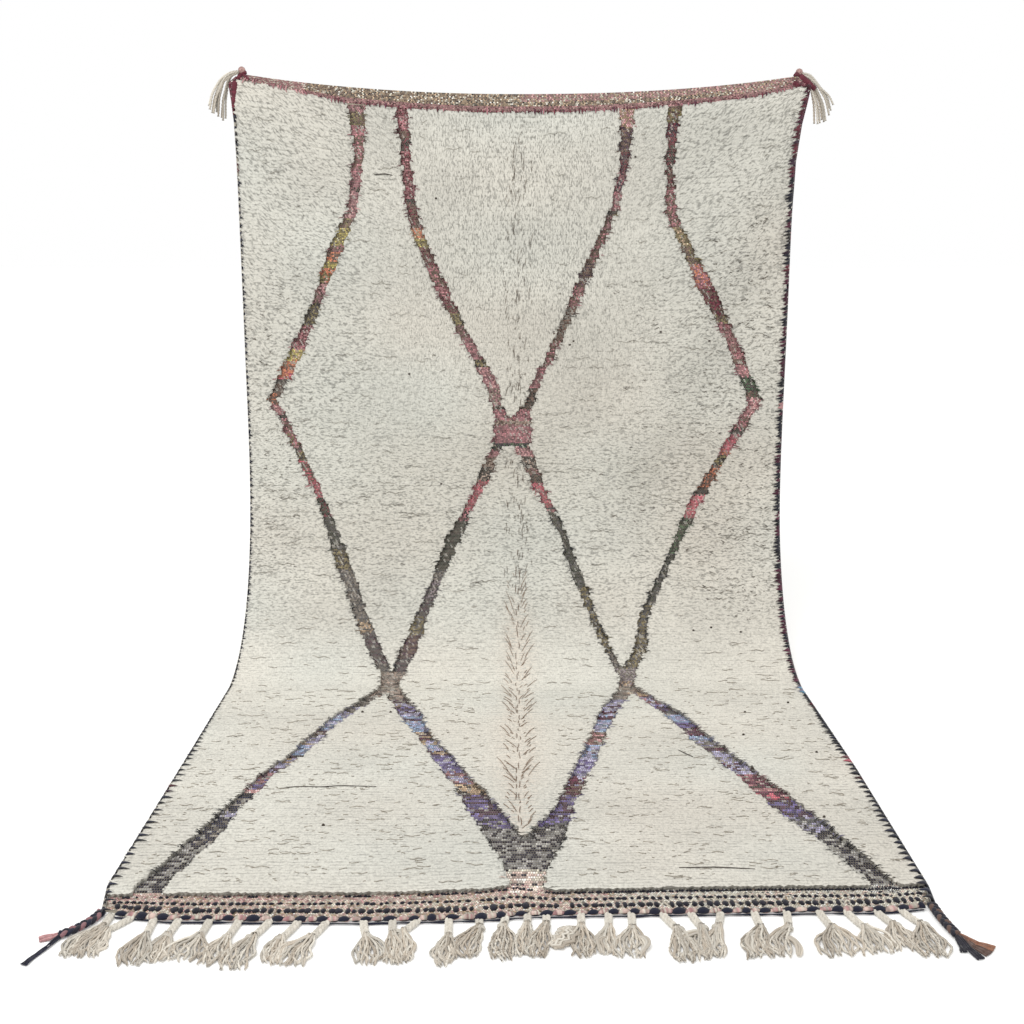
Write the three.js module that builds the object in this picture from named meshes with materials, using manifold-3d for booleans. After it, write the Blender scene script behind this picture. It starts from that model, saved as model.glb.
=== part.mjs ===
// Azilal rug of undyed wool, hung by its two top corners, its foot run out over the floor.
// Millimetres, +Z up, the rug's pile towards -Y. The origin is the middle of the top edge, on the back.
//
// A point of the rug is given by three lengths: across, from the rug's middle line; down, along the
// cloth from its top edge; and out, from the back of the cloth towards the pile. The function place()
// turns them into a point in space, so the drape is stated once and every piece follows it.

import * as THREE from 'three';
import { mergeVertices } from 'three/addons/utils/BufferGeometryUtils.js';
import Module from 'manifold-3d';

const wasm = await Module();
wasm.setup();

// The cloth: its own half width, thickness of the flat weave, and height of the pile above that
const HALF_WIDTH = 743;
const CLOTH = 5;
const PILE = 12;
const PILE_SLOPE = 6;
const PILE_LUMP = 1.6;
const HEADER = 46;
const HEADER_MIDDLE = 21;
const FOOT_TOP = 2722;
const FOOT_END = 2800;
const CLEARANCE = 0.35;

// How far into the pile the bowed rows of the header and the foot straighten out
const BOW_FADES = { header: 200, foot: 220 };

// The bend from hanging to lying: where it starts and ends down the cloth, and how it tightens
const BEND = { start: 770, end: 1735, power: 1.66, ease: 0.533, step: 5 };

// The top edge rises from its middle to the pinned corners, and the rise fades down the cloth
const SAG = { left: 50, leftPower: 2, right: 44, rightPower: 2.3, fadesAt: 750, fade: 1.6 };

// How far each side edge stands out of a straight rug, down the cloth
const SIDES = [
  { down: 0, left: -22, right: 0 },
  { down: 22, left: 10, right: 27 },
  { down: 60, left: 5, right: 20 },
  { down: 110, left: 1, right: 10 },
  { down: 200, left: 0, right: 0 },
  { down: 1200, left: 7, right: 0 },
  { down: 1600, left: 5, right: 1 },
  { down: 2200, left: 0, right: 6 },
  { down: 2700, left: -3, right: -3 },
  { down: 2800, left: -24, right: -16 },
];

// How deep the woven header reads under the top edge
const HEADER_DEPTH = [
  { across: -750, deep: 14 },
  { across: -650, deep: 19 },
  { across: -450, deep: 36 },
  { across: -100, deep: 46 },
  { across: 150, deep: 46 },
  { across: 450, deep: 38 },
  { across: 620, deep: 33 },
  { across: 750, deep: 18 },
];

// Where the bottom band starts and where the cloth ends
const FOOT = [
  { across: -750, top: 2738, end: 2775 },
  { across: -600, top: 2733, end: 2798 },
  { across: -250, top: 2730, end: 2802 },
  { across: -70, top: 2718, end: 2794 },
  { across: 0, top: 2702, end: 2785 },
  { across: 70, top: 2720, end: 2781 },
  { across: 350, top: 2710, end: 2774 },
  { across: 650, top: 2706, end: 2768 },
  { across: 750, top: 2700, end: 2752 },
];

// Soft ridges (high > 0) and troughs of the hanging cloth, each along a line
const FOLDS = [
  { fromAcross: 745, fromDown: 60, toAcross: 350, toDown: 960, wide: 85, high: 13 },
  { fromAcross: 740, fromDown: 330, toAcross: 440, toDown: 1050, wide: 70, high: -9 },
  { fromAcross: 720, fromDown: 45, toAcross: 120, toDown: 95, wide: 60, high: 7 },
  { fromAcross: -735, fromDown: 60, toAcross: -500, toDown: 520, wide: 80, high: 6 },
  { fromAcross: -480, fromDown: 760, toAcross: -120, toDown: 820, wide: 190, high: 10 },
  { fromAcross: 120, fromDown: 1130, toAcross: 640, toDown: 1180, wide: 120, high: -7 },
];
const FOLDS_END = { from: 1150, to: 1500 };

// The slit down the middle of the pile, where its tufts part
const CREASE = { across: 5, half: 17, deep: 5 };

// The flat-woven lines of the lattice, each by its middle and its width down the rug
const OUTER_LEFT = [
  { down: 40, across: -424, width: 46 },
  { down: 150, across: -419, width: 27 },
  { down: 300, across: -440, width: 27 },
  { down: 440, across: -502, width: 40 },
  { down: 560, across: -549, width: 25 },
  { down: 690, across: -610, width: 42 },
  { down: 812, across: -676, width: 28 },
  { down: 960, across: -607, width: 28 },
  { down: 1110, across: -543, width: 23 },
  { down: 1300, across: -480, width: 42 },
  { down: 1450, across: -425, width: 36 },
  { down: 1640, across: -345, width: 36 },
  { down: 1780, across: -305, width: 42 },
  { down: 1900, across: -267, width: 56 },
  { down: 2050, across: -212, width: 48 },
  { down: 2200, across: -145, width: 54 },
  { down: 2400, across: -70, width: 72 },
  { down: 2540, across: -22, width: 66 },
  { down: 2660, across: -2, width: 38 },
  { down: 2720, across: 0, width: 32 },
];
const INNER_LEFT = [
  { down: 40, across: -303, width: 36 },
  { down: 200, across: -291, width: 26 },
  { down: 330, across: -278, width: 34 },
  { down: 460, across: -226, width: 34 },
  { down: 610, across: -155, width: 27 },
  { down: 760, across: -83, width: 28 },
  { down: 860, across: -40, width: 42 },
  { down: 885, across: -28, width: 64 },
  { down: 940, across: 18, width: 58 },
  { down: 1050, across: 65, width: 30 },
  { down: 1200, across: 133, width: 22 },
  { down: 1300, across: 169, width: 30 },
  { down: 1460, across: 224, width: 20 },
  { down: 1620, across: 277, width: 20 },
  { down: 1750, across: 312, width: 32 },
  { down: 1900, across: 387, width: 44 },
  { down: 2050, across: 433, width: 50 },
  { down: 2200, across: 488, width: 46 },
  { down: 2400, across: 558, width: 62 },
  { down: 2550, across: 617, width: 52 },
  { down: 2720, across: 668, width: 44 },
];
const INNER_RIGHT = [
  { down: 40, across: 297, width: 40 },
  { down: 200, across: 289, width: 24 },
  { down: 300, across: 267, width: 22 },
  { down: 450, across: 200, width: 33 },
  { down: 550, across: 159, width: 30 },
  { down: 700, across: 95, width: 18 },
  { down: 850, across: 24, width: 42 },
  { down: 885, across: 16, width: 60 },
  { down: 940, across: -28, width: 62 },
  { down: 1000, across: -80, width: 40 },
  { down: 1130, across: -137, width: 21 },
  { down: 1200, across: -171, width: 42 },
  { down: 1350, across: -230, width: 27 },
  { down: 1530, across: -288, width: 42 },
  { down: 1640, across: -312, width: 36 },
  { down: 1780, across: -366, width: 32 },
  { down: 1950, across: -445, width: 30 },
  { down: 2150, across: -502, width: 34 },
  { down: 2250, across: -546, width: 27 },
  { down: 2400, across: -583, width: 34 },
  { down: 2530, across: -612, width: 52 },
  { down: 2720, across: -655, width: 36 },
];
const OUTER_RIGHT = [
  { down: 40, across: 418, width: 38 },
  { down: 200, across: 414, width: 22 },
  { down: 310, across: 419, width: 30 },
  { down: 400, across: 463, width: 27 },
  { down: 510, across: 521, width: 46 },
  { down: 650, across: 597, width: 38 },
  { down: 817, across: 670, width: 38 },
  { down: 960, across: 592, width: 36 },
  { down: 1110, across: 508, width: 35 },
  { down: 1250, across: 443, width: 22 },
  { down: 1350, across: 397, width: 26 },
  { down: 1450, across: 353, width: 27 },
  { down: 1540, across: 342, width: 33 },
  { down: 1620, across: 308, width: 38 },
  { down: 1750, across: 282, width: 34 },
  { down: 1850, across: 240, width: 46 },
  { down: 2000, across: 197, width: 40 },
  { down: 2150, across: 160, width: 54 },
  { down: 2300, across: 119, width: 46 },
  { down: 2450, across: 80, width: 52 },
  { down: 2540, across: 52, width: 80 },
  { down: 2660, across: 34, width: 36 },
  { down: 2720, across: 32, width: 36 },
];
const LINES = [OUTER_LEFT, INNER_LEFT, INNER_RIGHT, OUTER_RIGHT];

// Spacing of the points that carry the pile, across and down, and of those on the back
const PILE_STEP = 54;
const ROW_STEP = 34;
const BACK_STEP = 106;
const COARSE = { from: 8, every: 2 };
const SMALLEST_FIELD = 16;

// How far the pile's edge wanders to either side of a line's true edge, row by row
const RAGGED = 2.5;

// The overcast side edges: a flattened tube along each side
const SELVEDGE = { half: 5.5, high: 11, swell: 0.6, flat: 0.6 };

// The twined edge at the foot: two plies that cross over each other, in a strip on the floor
const TWINE = {
  left: -700, right: 714, wide: 17, high: 10, swell: 2.5, lay: 45, step: 15, shoulder: 0.6, crown: 0.15,
};

// The braids of the fringe: root across, knot, the reach of the tail's two sides, and its end
const BRAIDS = [
  { root: -688, knot: -704, knotDown: 2850, left: -742, right: -694, end: 2915 },
  { root: -646, knot: -664, knotDown: 2862, left: -690, right: -664, end: 2912 },
  { root: -622, knot: -628, knotDown: 2867, left: -657, right: -620, end: 2939 },
  { root: -584, knot: -592, knotDown: 2864, left: -613, right: -578, end: 2929 },
  { root: -532, knot: -538, knotDown: 2869, left: -570, right: -524, end: 2927 },
  { root: -481, knot: -491, knotDown: 2869, left: -517, right: -483, end: 2939 },
  { root: -428, knot: -451, knotDown: 2869, left: -476, right: -441, end: 2948 },
  { root: -378, knot: -404, knotDown: 2874, left: -428, right: -400, end: 2929 },
  { root: -329, knot: -358, knotDown: 2872, left: -391, right: -348, end: 2939 },
  { root: -266, knot: -254, knotDown: 2867, left: -272, right: -226, end: 2936 },
  { root: -218, knot: -214, knotDown: 2862, left: -218, right: -200, end: 2934 },
  { root: -173, knot: -186, knotDown: 2858, left: -193, right: -168, end: 2929 },
  { root: -119, knot: -117, knotDown: 2869, left: -139, right: -110, end: 2941 },
  { root: -67, knot: -66, knotDown: 2840, left: -102, right: -62, end: 2918 },
  { root: -21, knot: -27, knotDown: 2836, left: -48, right: -12, end: 2925 },
  { root: 15, knot: 12, knotDown: 2832, left: -4, right: 17, end: 2911 },
  { root: 50, knot: 47, knotDown: 2832, left: 25, right: 56, end: 2915 },
  { root: 110, knot: 108, knotDown: 2838, left: 90, right: 122, end: 2915 },
  { root: 156, knot: 154, knotDown: 2842, left: 131, right: 160, end: 2906 },
  { root: 198, knot: 195, knotDown: 2842, left: 169, right: 211, end: 2915 },
  { root: 252, knot: 274, knotDown: 2844, left: 254, right: 288, end: 2929 },
  { root: 302, knot: 310, knotDown: 2840, left: 296, right: 316, end: 2922 },
  { root: 354, knot: 342, knotDown: 2838, left: 324, right: 346, end: 2915 },
  { root: 413, knot: 414, knotDown: 2842, left: 376, right: 412, end: 2920 },
  { root: 470, knot: 461, knotDown: 2840, left: 422, right: 470, end: 2912 },
  { root: 527, knot: 539, knotDown: 2842, left: 502, right: 566, end: 2915 },
  { root: 575, knot: 597, knotDown: 2842, left: 577, right: 620, end: 2906 },
  { root: 626, knot: 643, knotDown: 2834, left: 629, right: 664, end: 2896 },
  { root: 668, knot: 692, knotDown: 2830, left: 672, right: 714, end: 2912 },
];
// The braids' own section, and the locks of their tails: how they spread, sag open and end unevenly
const BRAID = { wide: 15, high: 11, plait: 1.4, step: 12, fewestSteps: 4, swing: 0.28, swingAt: 0.38 };
const LOCK = { wide: 8.5, high: 8, tipWide: 4, tipHigh: 3.5, pitch: 11, fewest: 2, most: 5, bury: 5 };
const FAN = { rootShare: 0.7, openAcross: 0.55, openDown: 0.42, uneven: 9, steps: 2 };

// The flat upper side of a braid that lies on the floor, as a share of its half width
const CROWN = 0.32;

// The corner braids on the floor: the route of each strand and its width at the start and the end.
// The one with a seat leaves the cloth there, straight at first
const CORNER_LEFT = [
  { seat: -727, route: [[-737, 2815], [-756, 2842], [-774, 2856]], wide: 20, tip: 16, high: 13 },
  { route: [[-768, 2850], [-786, 2856], [-806, 2865]], wide: 15, tip: 5, high: 9 },
  { route: [[-770, 2852], [-784, 2888], [-794, 2912], [-803, 2938]], wide: 9, tip: 3, high: 7 },
];
const CORNER_RIGHT = [
  { seat: 732, route: [[733, 2800], [737, 2830], [742, 2856]], wide: 18, tip: 14, high: 13 },
  { route: [[740, 2850], [760, 2874], [786, 2892]], wide: 9, tip: 8, high: 9 },
  { route: [[740, 2850], [755, 2880], [775, 2906]], wide: 9, tip: 8, high: 9 },
  { route: [[740, 2850], [748, 2885], [757, 2922]], wide: 9, tip: 6, high: 8 },
  { route: [[740, 2850], [739, 2880], [738, 2902]], wide: 8, tip: 5, high: 7 },
];

const CORNER = { step: 13, plait: 0.06, plaitHigh: 0.03, thinning: 0.45, straight: 8 };

// The tassels at the pinned corners: a root that rises from the cloth's corner, a wrapped knob, a neck
// that turns over the corner, and cords that hang from it, each ending at its own place beside the rug
const TASSEL_ROOT = { wide: 8, rise: 4, steps: 3 };
const KNOB = { radius: 9, rings: 5, sides: 8 };
const NECK = { wide: 15, steps: 5, dip: 2, over: { x: 12, z: 14 } };
const TOP_CORD = {
  wide: 7, tip: 5.5, steps: 5, back: 1 / 3, front: 0.588, from: { x: 8, y: 4, z: 8 }, arc: { x: 22, z: 30 },
  sag: { x: 2, z: 16 },
};
const TASSEL_LEFT = {
  knob: { x: -729, y: -4, z: 62.5 },
  neck: { x: -754, y: -6, z: 54 },
  cords: [
    { x: -812, y: -3, z: -62 },
    { x: -806, y: -13, z: -74 },
    { x: -799, y: -4, z: -66 },
    { x: -793, y: -14, z: -86 },
    { x: -786, y: -5, z: -72 },
    { x: -779, y: -15, z: -93 },
    { x: -772, y: -6, z: -84 },
  ],
};
const TASSEL_RIGHT = {
  knob: { x: 748, y: -4, z: 57 },
  neck: { x: 779, y: -6, z: 45 },
  cords: [
    { x: 800, y: -4, z: -72 },
    { x: 806, y: -14, z: -80 },
    { x: 813, y: -5, z: -74 },
    { x: 819, y: -15, z: -78 },
    { x: 826, y: -6, z: -70 },
    { x: 832, y: -14, z: -60 },
    { x: 838, y: -6, z: -50 },
  ],
};

const CREAM = 0xd8d4c6;
const NAVY = 0x23252f;
const WARP = 0xcfcabc;
const DARK_BRAID = 0x35292a;
const PLUM = 0x6d3f47;

// Small tools

const clamp = (value, low, high) => Math.min(high, Math.max(low, value));

function smooth(value) {
  const t = clamp(value, 0, 1);
  return t * t * (3 - 2 * t);
}

// Reads one column of a table at a place along another column, in straight lines between its rows
function read(table, along, at, column) {
  const last = table.length - 1;
  if (at <= table[0][along]) return table[0][column];
  if (at >= table[last][along]) return table[last][column];
  const next = table.findIndex((row) => row[along] > at);
  const a = table[next - 1];
  const b = table[next];
  const part = (at - a[along]) / (b[along] - a[along]);
  return a[column] + (b[column] - a[column]) * part;
}

// A repeatable number from 0 to 1 for a pair of whole numbers
function scatter(a, b) {
  const value = Math.sin(a * 12.9898 + b * 78.233) * 43758.5453;
  return value - Math.floor(value);
}

// Soft unevenness from -1 to 1 over cells of a given size
function lumps(across, down, cellAcross, cellDown) {
  const a = across / cellAcross;
  const d = down / cellDown;
  const a0 = Math.floor(a);
  const d0 = Math.floor(d);
  const fa = smooth(a - a0);
  const fd = smooth(d - d0);
  const top = scatter(a0, d0) * (1 - fa) + scatter(a0 + 1, d0) * fa;
  const low = scatter(a0, d0 + 1) * (1 - fa) + scatter(a0 + 1, d0 + 1) * fa;
  return (top * (1 - fd) + low * fd) * 2 - 1;
}

// The drape

function turnAt(down) {
  const t = clamp((down - BEND.start) / (BEND.end - BEND.start), 0, 1);
  return (Math.PI / 2) * t ** BEND.power * (1 - BEND.ease * (1 - t));
}

// The bend, stepped off along the cloth: how far forward and how far down each step has come
const bendSteps = [{ forward: 0, drop: BEND.start }];
for (let down = BEND.start; down < BEND.end; down += BEND.step) {
  const here = turnAt(down);
  const next = turnAt(down + BEND.step);
  const last = bendSteps[bendSteps.length - 1];
  bendSteps.push({
    forward: last.forward + ((Math.sin(here) + Math.sin(next)) / 2) * BEND.step,
    drop: last.drop + ((Math.cos(here) + Math.cos(next)) / 2) * BEND.step,
  });
}
const BEND_FOOT = bendSteps[bendSteps.length - 1];

function profile(down) {
  if (down <= BEND.start) return { forward: 0, drop: down };
  if (down >= BEND.end) return { forward: BEND_FOOT.forward + down - BEND.end, drop: BEND_FOOT.drop };
  const index = (down - BEND.start) / BEND.step;
  const low = Math.floor(index);
  const part = index - low;
  const a = bendSteps[low];
  const b = bendSteps[low + 1];
  return {
    forward: a.forward + (b.forward - a.forward) * part,
    drop: a.drop + (b.drop - a.drop) * part,
  };
}

function foldsAt(across, down) {
  let sum = 0;
  for (const fold of FOLDS) {
    const runAcross = fold.toAcross - fold.fromAcross;
    const runDown = fold.toDown - fold.fromDown;
    const a = across - fold.fromAcross;
    const d = down - fold.fromDown;
    const along = clamp((a * runAcross + d * runDown) / (runAcross ** 2 + runDown ** 2), 0, 1);
    const away = Math.hypot(a - runAcross * along, d - runDown * along) / fold.wide;
    sum += fold.high * Math.exp(-away * away);
  }
  return sum * (1 - smooth((down - FOLDS_END.from) / (FOLDS_END.to - FOLDS_END.from)));
}

function place(across, down, out) {
  const share = Math.abs(across) / HALF_WIDTH;
  const side = Math.sign(across) * read(SIDES, 'down', down, across < 0 ? 'left' : 'right');
  const fade = clamp(1 - down / SAG.fadesAt, 0, 1) ** SAG.fade;
  const rise = across < 0 ? SAG.left * share ** SAG.leftPower : SAG.right * share ** SAG.rightPower;
  const { forward, drop } = profile(down);
  const turn = turnAt(down);
  const lift = out + foldsAt(across, down);
  return new THREE.Vector3(
    across + side * Math.min(1, share) ** 4,
    -forward - lift * Math.cos(turn),
    -drop + rise * fade + lift * Math.sin(turn),
  );
}

const FLOOR = -BEND_FOOT.drop;

// A place on the floor in front of the bend, by the same two lengths
const floorPoint = ([across, down]) => new THREE.Vector3(across, -profile(down).forward, FLOOR);

// The rows of the weave bow a little: the header is shallow at its ends, and the foot runs askew
function bowed(row, across) {
  const deep = read(HEADER_DEPTH, 'across', across, 'deep');
  const top = read(FOOT, 'across', across, 'top');
  const end = read(FOOT, 'across', across, 'end');
  if (row <= HEADER) return (row * deep) / HEADER;
  if (row >= FOOT_TOP) return top + ((end - top) * (row - FOOT_TOP)) / (FOOT_END - FOOT_TOP);
  const headerPart = 1 - smooth((row - HEADER) / BOW_FADES.header);
  const footPart = smooth((row - FOOT_TOP + BOW_FADES.foot) / BOW_FADES.foot);
  return row + (deep - HEADER) * headerPart + (top - FOOT_TOP) * footPart;
}

// Meshes

function geometryOf(points, triangles) {
  const geometry = new THREE.BufferGeometry();
  const flat = points.flatMap((point) => [point.x, point.y, point.z]);
  geometry.setAttribute('position', new THREE.Float32BufferAttribute(flat, 3));
  geometry.setIndex(triangles.flat());
  return mergeVertices(geometry, 1e-3);
}

// Fills the strip between two chains of points, in step with their places along it
function fillStrip(chainA, chainB, triangles) {
  let i = 0;
  let j = 0;
  while (i < chainA.length - 1 || j < chainB.length - 1) {
    const a = chainA[i];
    const b = chainB[j];
    const nextA = chainA[i + 1];
    const nextB = chainB[j + 1];
    const useA = nextB === undefined
      || (nextA !== undefined && Math.abs(nextA.at - b.at) <= Math.abs(nextB.at - a.at));
    triangles.push(useA ? [a.index, b.index, nextA.index] : [a.index, b.index, nextB.index]);
    if (useA) i += 1;
    else j += 1;
  }
}

// The same between two rows, held to the edges that both of them name
function fillRows(rowA, rowB, triangles) {
  const shared = rowA.filter((a) => a.key && rowB.some((b) => b.key === a.key)).map((a) => a.key);
  for (let k = 0; k < shared.length - 1; k += 1) {
    const part = (row) => {
      const from = row.findIndex((point) => point.key === shared[k]);
      const to = row.findIndex((point) => point.key === shared[k + 1]);
      return row.slice(from, to + 1);
    };
    fillStrip(part(rowA), part(rowB), triangles);
  }
}

// The rug's body: one cloth with header, lattice lines and foot in flat weave, and raised pile fields

// The lattice lines that cross a row, from left to right, those that touch taken together
function lineEdges(down) {
  const bands = LINES.map((line) => {
    const middle = read(line, 'down', down, 'across');
    const half = read(line, 'down', down, 'width') / 2;
    return { left: middle - half, right: middle + half };
  });
  bands.sort((a, b) => a.left + a.right - b.left - b.right);
  const joined = [];
  bands.forEach((band, slot) => {
    const last = joined[joined.length - 1];
    if (last && band.left - last.right < SMALLEST_FIELD) {
      last.right = Math.max(last.right, band.right);
      last.rightKey = `line${slot}right`;
      return;
    }
    joined.push({ ...band, leftKey: `line${slot}left`, rightKey: `line${slot}right` });
  });
  return joined;
}

function pileOut(across, down) {
  const crease = Math.abs(across - CREASE.across) < 1 ? CREASE.deep : 0;
  const broad = lumps(across, down, 150, 90);
  const fine = lumps(across + 40, down + 20, 60, 38);
  return CLOTH + PILE - crease + PILE_LUMP * (0.5 * broad + 0.7 * fine);
}

function addEven(stations, from, to, step, out) {
  const count = Math.max(1, Math.round((to - from) / step));
  for (let k = 1; k < count; k += 1) {
    const across = from + ((to - from) * k) / count;
    stations.push({ across, out: out(across) });
  }
}

function flatStations(step) {
  const stations = [{ across: -HALF_WIDTH, out: CLOTH, key: 'left' }];
  addEven(stations, -HALF_WIDTH, HALF_WIDTH, step, () => CLOTH);
  stations.push({ across: HALF_WIDTH, out: CLOTH, key: 'right' });
  return stations;
}

function pileField(stations, from, to, row) {
  const out = (across) => pileOut(across, row);
  const crossed = from < CREASE.across - 2 * CREASE.half && to > CREASE.across + 2 * CREASE.half;
  if (!crossed) {
    addEven(stations, from, to, PILE_STEP, out);
    return;
  }
  const creaseLeft = CREASE.across - CREASE.half;
  const creaseRight = CREASE.across + CREASE.half;
  addEven(stations, from, creaseLeft, PILE_STEP, out);
  stations.push({ across: creaseLeft, out: out(creaseLeft), key: 'creaseLeft' });
  stations.push({ across: CREASE.across, out: out(CREASE.across), key: 'crease' });
  stations.push({ across: creaseRight, out: out(creaseRight), key: 'creaseRight' });
  addEven(stations, creaseRight, to, PILE_STEP, out);
}

function pileStations(row) {
  const edge = HALF_WIDTH - PILE_SLOPE;
  const stations = [
    { across: -HALF_WIDTH, out: CLOTH, key: 'left' },
    { across: -edge, out: pileOut(-edge, row), key: 'leftPile' },
  ];
  let from = -edge;
  for (const { left, right, leftKey, rightKey } of lineEdges(row)) {
    const slope = Math.min(PILE_SLOPE, (right - left) / 4);
    const ragged = RAGGED * (2 * scatter(Math.round(left), Math.round(row)) - 1);
    const pileLeft = left - slope / 2 + ragged;
    const pileRight = right + slope / 2 + ragged;
    pileField(stations, from, pileLeft, row);
    stations.push({ across: pileLeft, out: pileOut(pileLeft, row), key: `${leftKey}Pile` });
    stations.push({ across: left + slope / 2, out: CLOTH, key: leftKey });
    stations.push({ across: right - slope / 2, out: CLOTH, key: rightKey });
    stations.push({ across: pileRight, out: pileOut(pileRight, row), key: `${rightKey}Pile` });
    from = pileRight;
  }
  pileField(stations, from, edge, row);
  stations.push({ across: edge, out: pileOut(edge, row), key: 'rightPile' });
  stations.push({ across: HALF_WIDTH, out: CLOTH, key: 'right' });
  return stations;
}

function rowList() {
  const rows = [0, HEADER_MIDDLE, HEADER].map((row) => ({ row, pile: false }));
  const first = HEADER + PILE_SLOPE;
  const last = FOOT_TOP - PILE_SLOPE;
  const count = Math.round((last - first) / ROW_STEP);
  for (let k = 0; k <= count; k += 1) {
    rows.push({ row: first + ((last - first) * k) / count, pile: true });
  }
  const foot = [FOOT_TOP, (FOOT_TOP + FOOT_END) / 2, FOOT_END];
  return rows.concat(foot.map((row) => ({ row, pile: false })));
}

// The back and the side edges need fewer rows: all of them near the top corners, then every other one
function coarseRows(rows) {
  return rows.filter((entry, k) => k < COARSE.from || k % COARSE.every === 0 || k === rows.length - 1);
}

function rugBody() {
  const points = [];
  const triangles = [];
  const rows = rowList();
  const addPoint = (across, row, out) => {
    points.push(place(across, bowed(row, across), out));
    return points.length - 1;
  };

  const front = rows.map(({ row, pile }) => {
    const stations = pile ? pileStations(row) : flatStations(PILE_STEP);
    return stations.map((station) => ({
      at: station.across,
      key: station.key,
      index: addPoint(station.across, row, station.out),
    }));
  });
  for (let k = 0; k < front.length - 1; k += 1) fillRows(front[k], front[k + 1], triangles);

  const backRows = coarseRows(rows);
  const back = backRows.map(({ row }) => flatStations(BACK_STEP).map((station) => ({
    at: station.across,
    index: addPoint(station.across, row, 0),
  })));
  for (let k = 0; k < back.length - 1; k += 1) fillStrip(back[k + 1], back[k], triangles);

  fillStrip(back[0], front[0], triangles);
  fillStrip(front[front.length - 1], back[back.length - 1], triangles);

  const sideOf = (list, lines, end) => list.map((row, k) => {
    const point = end < 0 ? row[0] : row[row.length - 1];
    return { at: lines[k].row, index: point.index };
  });
  fillStrip(sideOf(front, rows, -1), sideOf(back, backRows, -1), triangles);
  fillStrip(sideOf(back, backRows, 1), sideOf(front, rows, 1), triangles);
  return geometryOf(points, triangles);
}

// A closed tube through rings of points, one ring for each step, the rings turning the same way
function tubeOf(rings) {
  const sides = rings[0].length;
  const points = rings.flat();
  const triangles = [];
  for (let k = 0; k < rings.length - 1; k += 1) {
    for (let side = 0; side < sides; side += 1) {
      const next = (side + 1) % sides;
      const a = k * sides + side;
      const b = k * sides + next;
      triangles.push([a, a + sides, b], [b, a + sides, b + sides]);
    }
  }
  const end = (rings.length - 1) * sides;
  for (let side = 1; side < sides - 1; side += 1) {
    triangles.push([0, side, side + 1]);
    triangles.push([end, end + side + 1, end + side]);
  }
  return { points, triangles };
}

function selvedge(sign) {
  const { half, high, swell, flat } = SELVEDGE;
  const lines = coarseRows(rowList()).map(({ row }) => row).filter((row) => row >= HEADER);
  const rings = lines.map((row, k) => {
    const down = bowed(row, sign * HALF_WIDTH);
    const fat = half + swell * (scatter(k, sign) - 0.5) * 2;
    const corners = [
      [-half, high / 2],
      [-half * flat, 0],
      [fat * flat, 0],
      [fat, high / 2],
      [fat * flat, high],
      [-half * flat, high],
    ];
    const ring = corners.map(([wide, out]) => {
      const point = place(sign * HALF_WIDTH, down, out);
      point.x += sign * (CLEARANCE + half + wide);
      return point;
    });
    return sign > 0 ? ring.reverse() : ring;
  });
  const { points, triangles } = tubeOf(rings);
  return geometryOf(points, triangles);
}

// Strands

// A strand along a curve. Its section is a list of [sideways, upwards] corners, counter-clockwise
function strand(curve, steps, sectionAt, up) {
  const rings = [];
  for (let k = 0; k <= steps; k += 1) {
    const part = k / steps;
    const middle = curve.getPointAt(part);
    const ahead = curve.getTangentAt(part);
    const sideways = new THREE.Vector3().crossVectors(ahead, up).normalize();
    rings.push(sectionAt(part, k).map(([wide, high]) => middle.clone()
      .addScaledVector(sideways, wide)
      .addScaledVector(up, high)));
  }
  return solidOf(tubeOf(rings));
}

function solidOf({ points, triangles }) {
  const merged = geometryOf(points, triangles);
  const mesh = new wasm.Mesh({
    numProp: 3,
    vertProperties: merged.attributes.position.array,
    triVerts: Uint32Array.from(merged.index.array),
  });
  return new wasm.Manifold(mesh);
}

function joined(solids) {
  const whole = solids.reduce((sum, solid) => sum.add(solid));
  const mesh = whole.getMesh();
  const geometry = new THREE.BufferGeometry();
  geometry.setAttribute('position', new THREE.Float32BufferAttribute(mesh.vertProperties, 3));
  geometry.setIndex(Array.from(mesh.triVerts));
  return geometry;
}

const UP = new THREE.Vector3(0, 0, 1);

// Sections that lie flat on the floor
const boxSection = (wide, high) => [
  [-wide / 2, 0],
  [wide / 2, 0],
  [wide * CROWN, high],
  [-wide * CROWN, high],
];
const roofSection = (wide, high) => [
  [-wide / 2, 0],
  [wide / 2, 0],
  [0, high],
];

function curveThrough(points) {
  return new THREE.CatmullRomCurve3(points, false, 'centripetal');
}

// The fringe at the foot

const twineMiddle = (across) => read(FOOT, 'across', across, 'end') + CLEARANCE + TWINE.wide / 2 + 1;

function twine() {
  const { left, right, wide, high, swell, lay, step, shoulder, crown } = TWINE;
  const count = Math.round((right - left) / step);
  const rings = [];
  for (let k = 0; k <= count; k += 1) {
    const across = left + ((right - left) * k) / count;
    const down = twineMiddle(across);
    const over = Math.cos((Math.PI * across) / lay);
    const inner = swell * Math.max(0, over);
    const outer = swell * Math.max(0, -over);
    const corners = [
      [-wide / 2, 0],
      [wide / 2, 0],
      [wide / 2, high * shoulder],
      [wide * crown, high - swell + outer],
      [-wide * crown, high - swell + inner],
      [-wide / 2, high * shoulder],
    ];
    rings.push(corners.map(([ahead, out]) => {
      const point = floorPoint([across, down + ahead]);
      point.z += out;
      return point;
    }));
  }
  return solidOf(tubeOf(rings));
}

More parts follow.
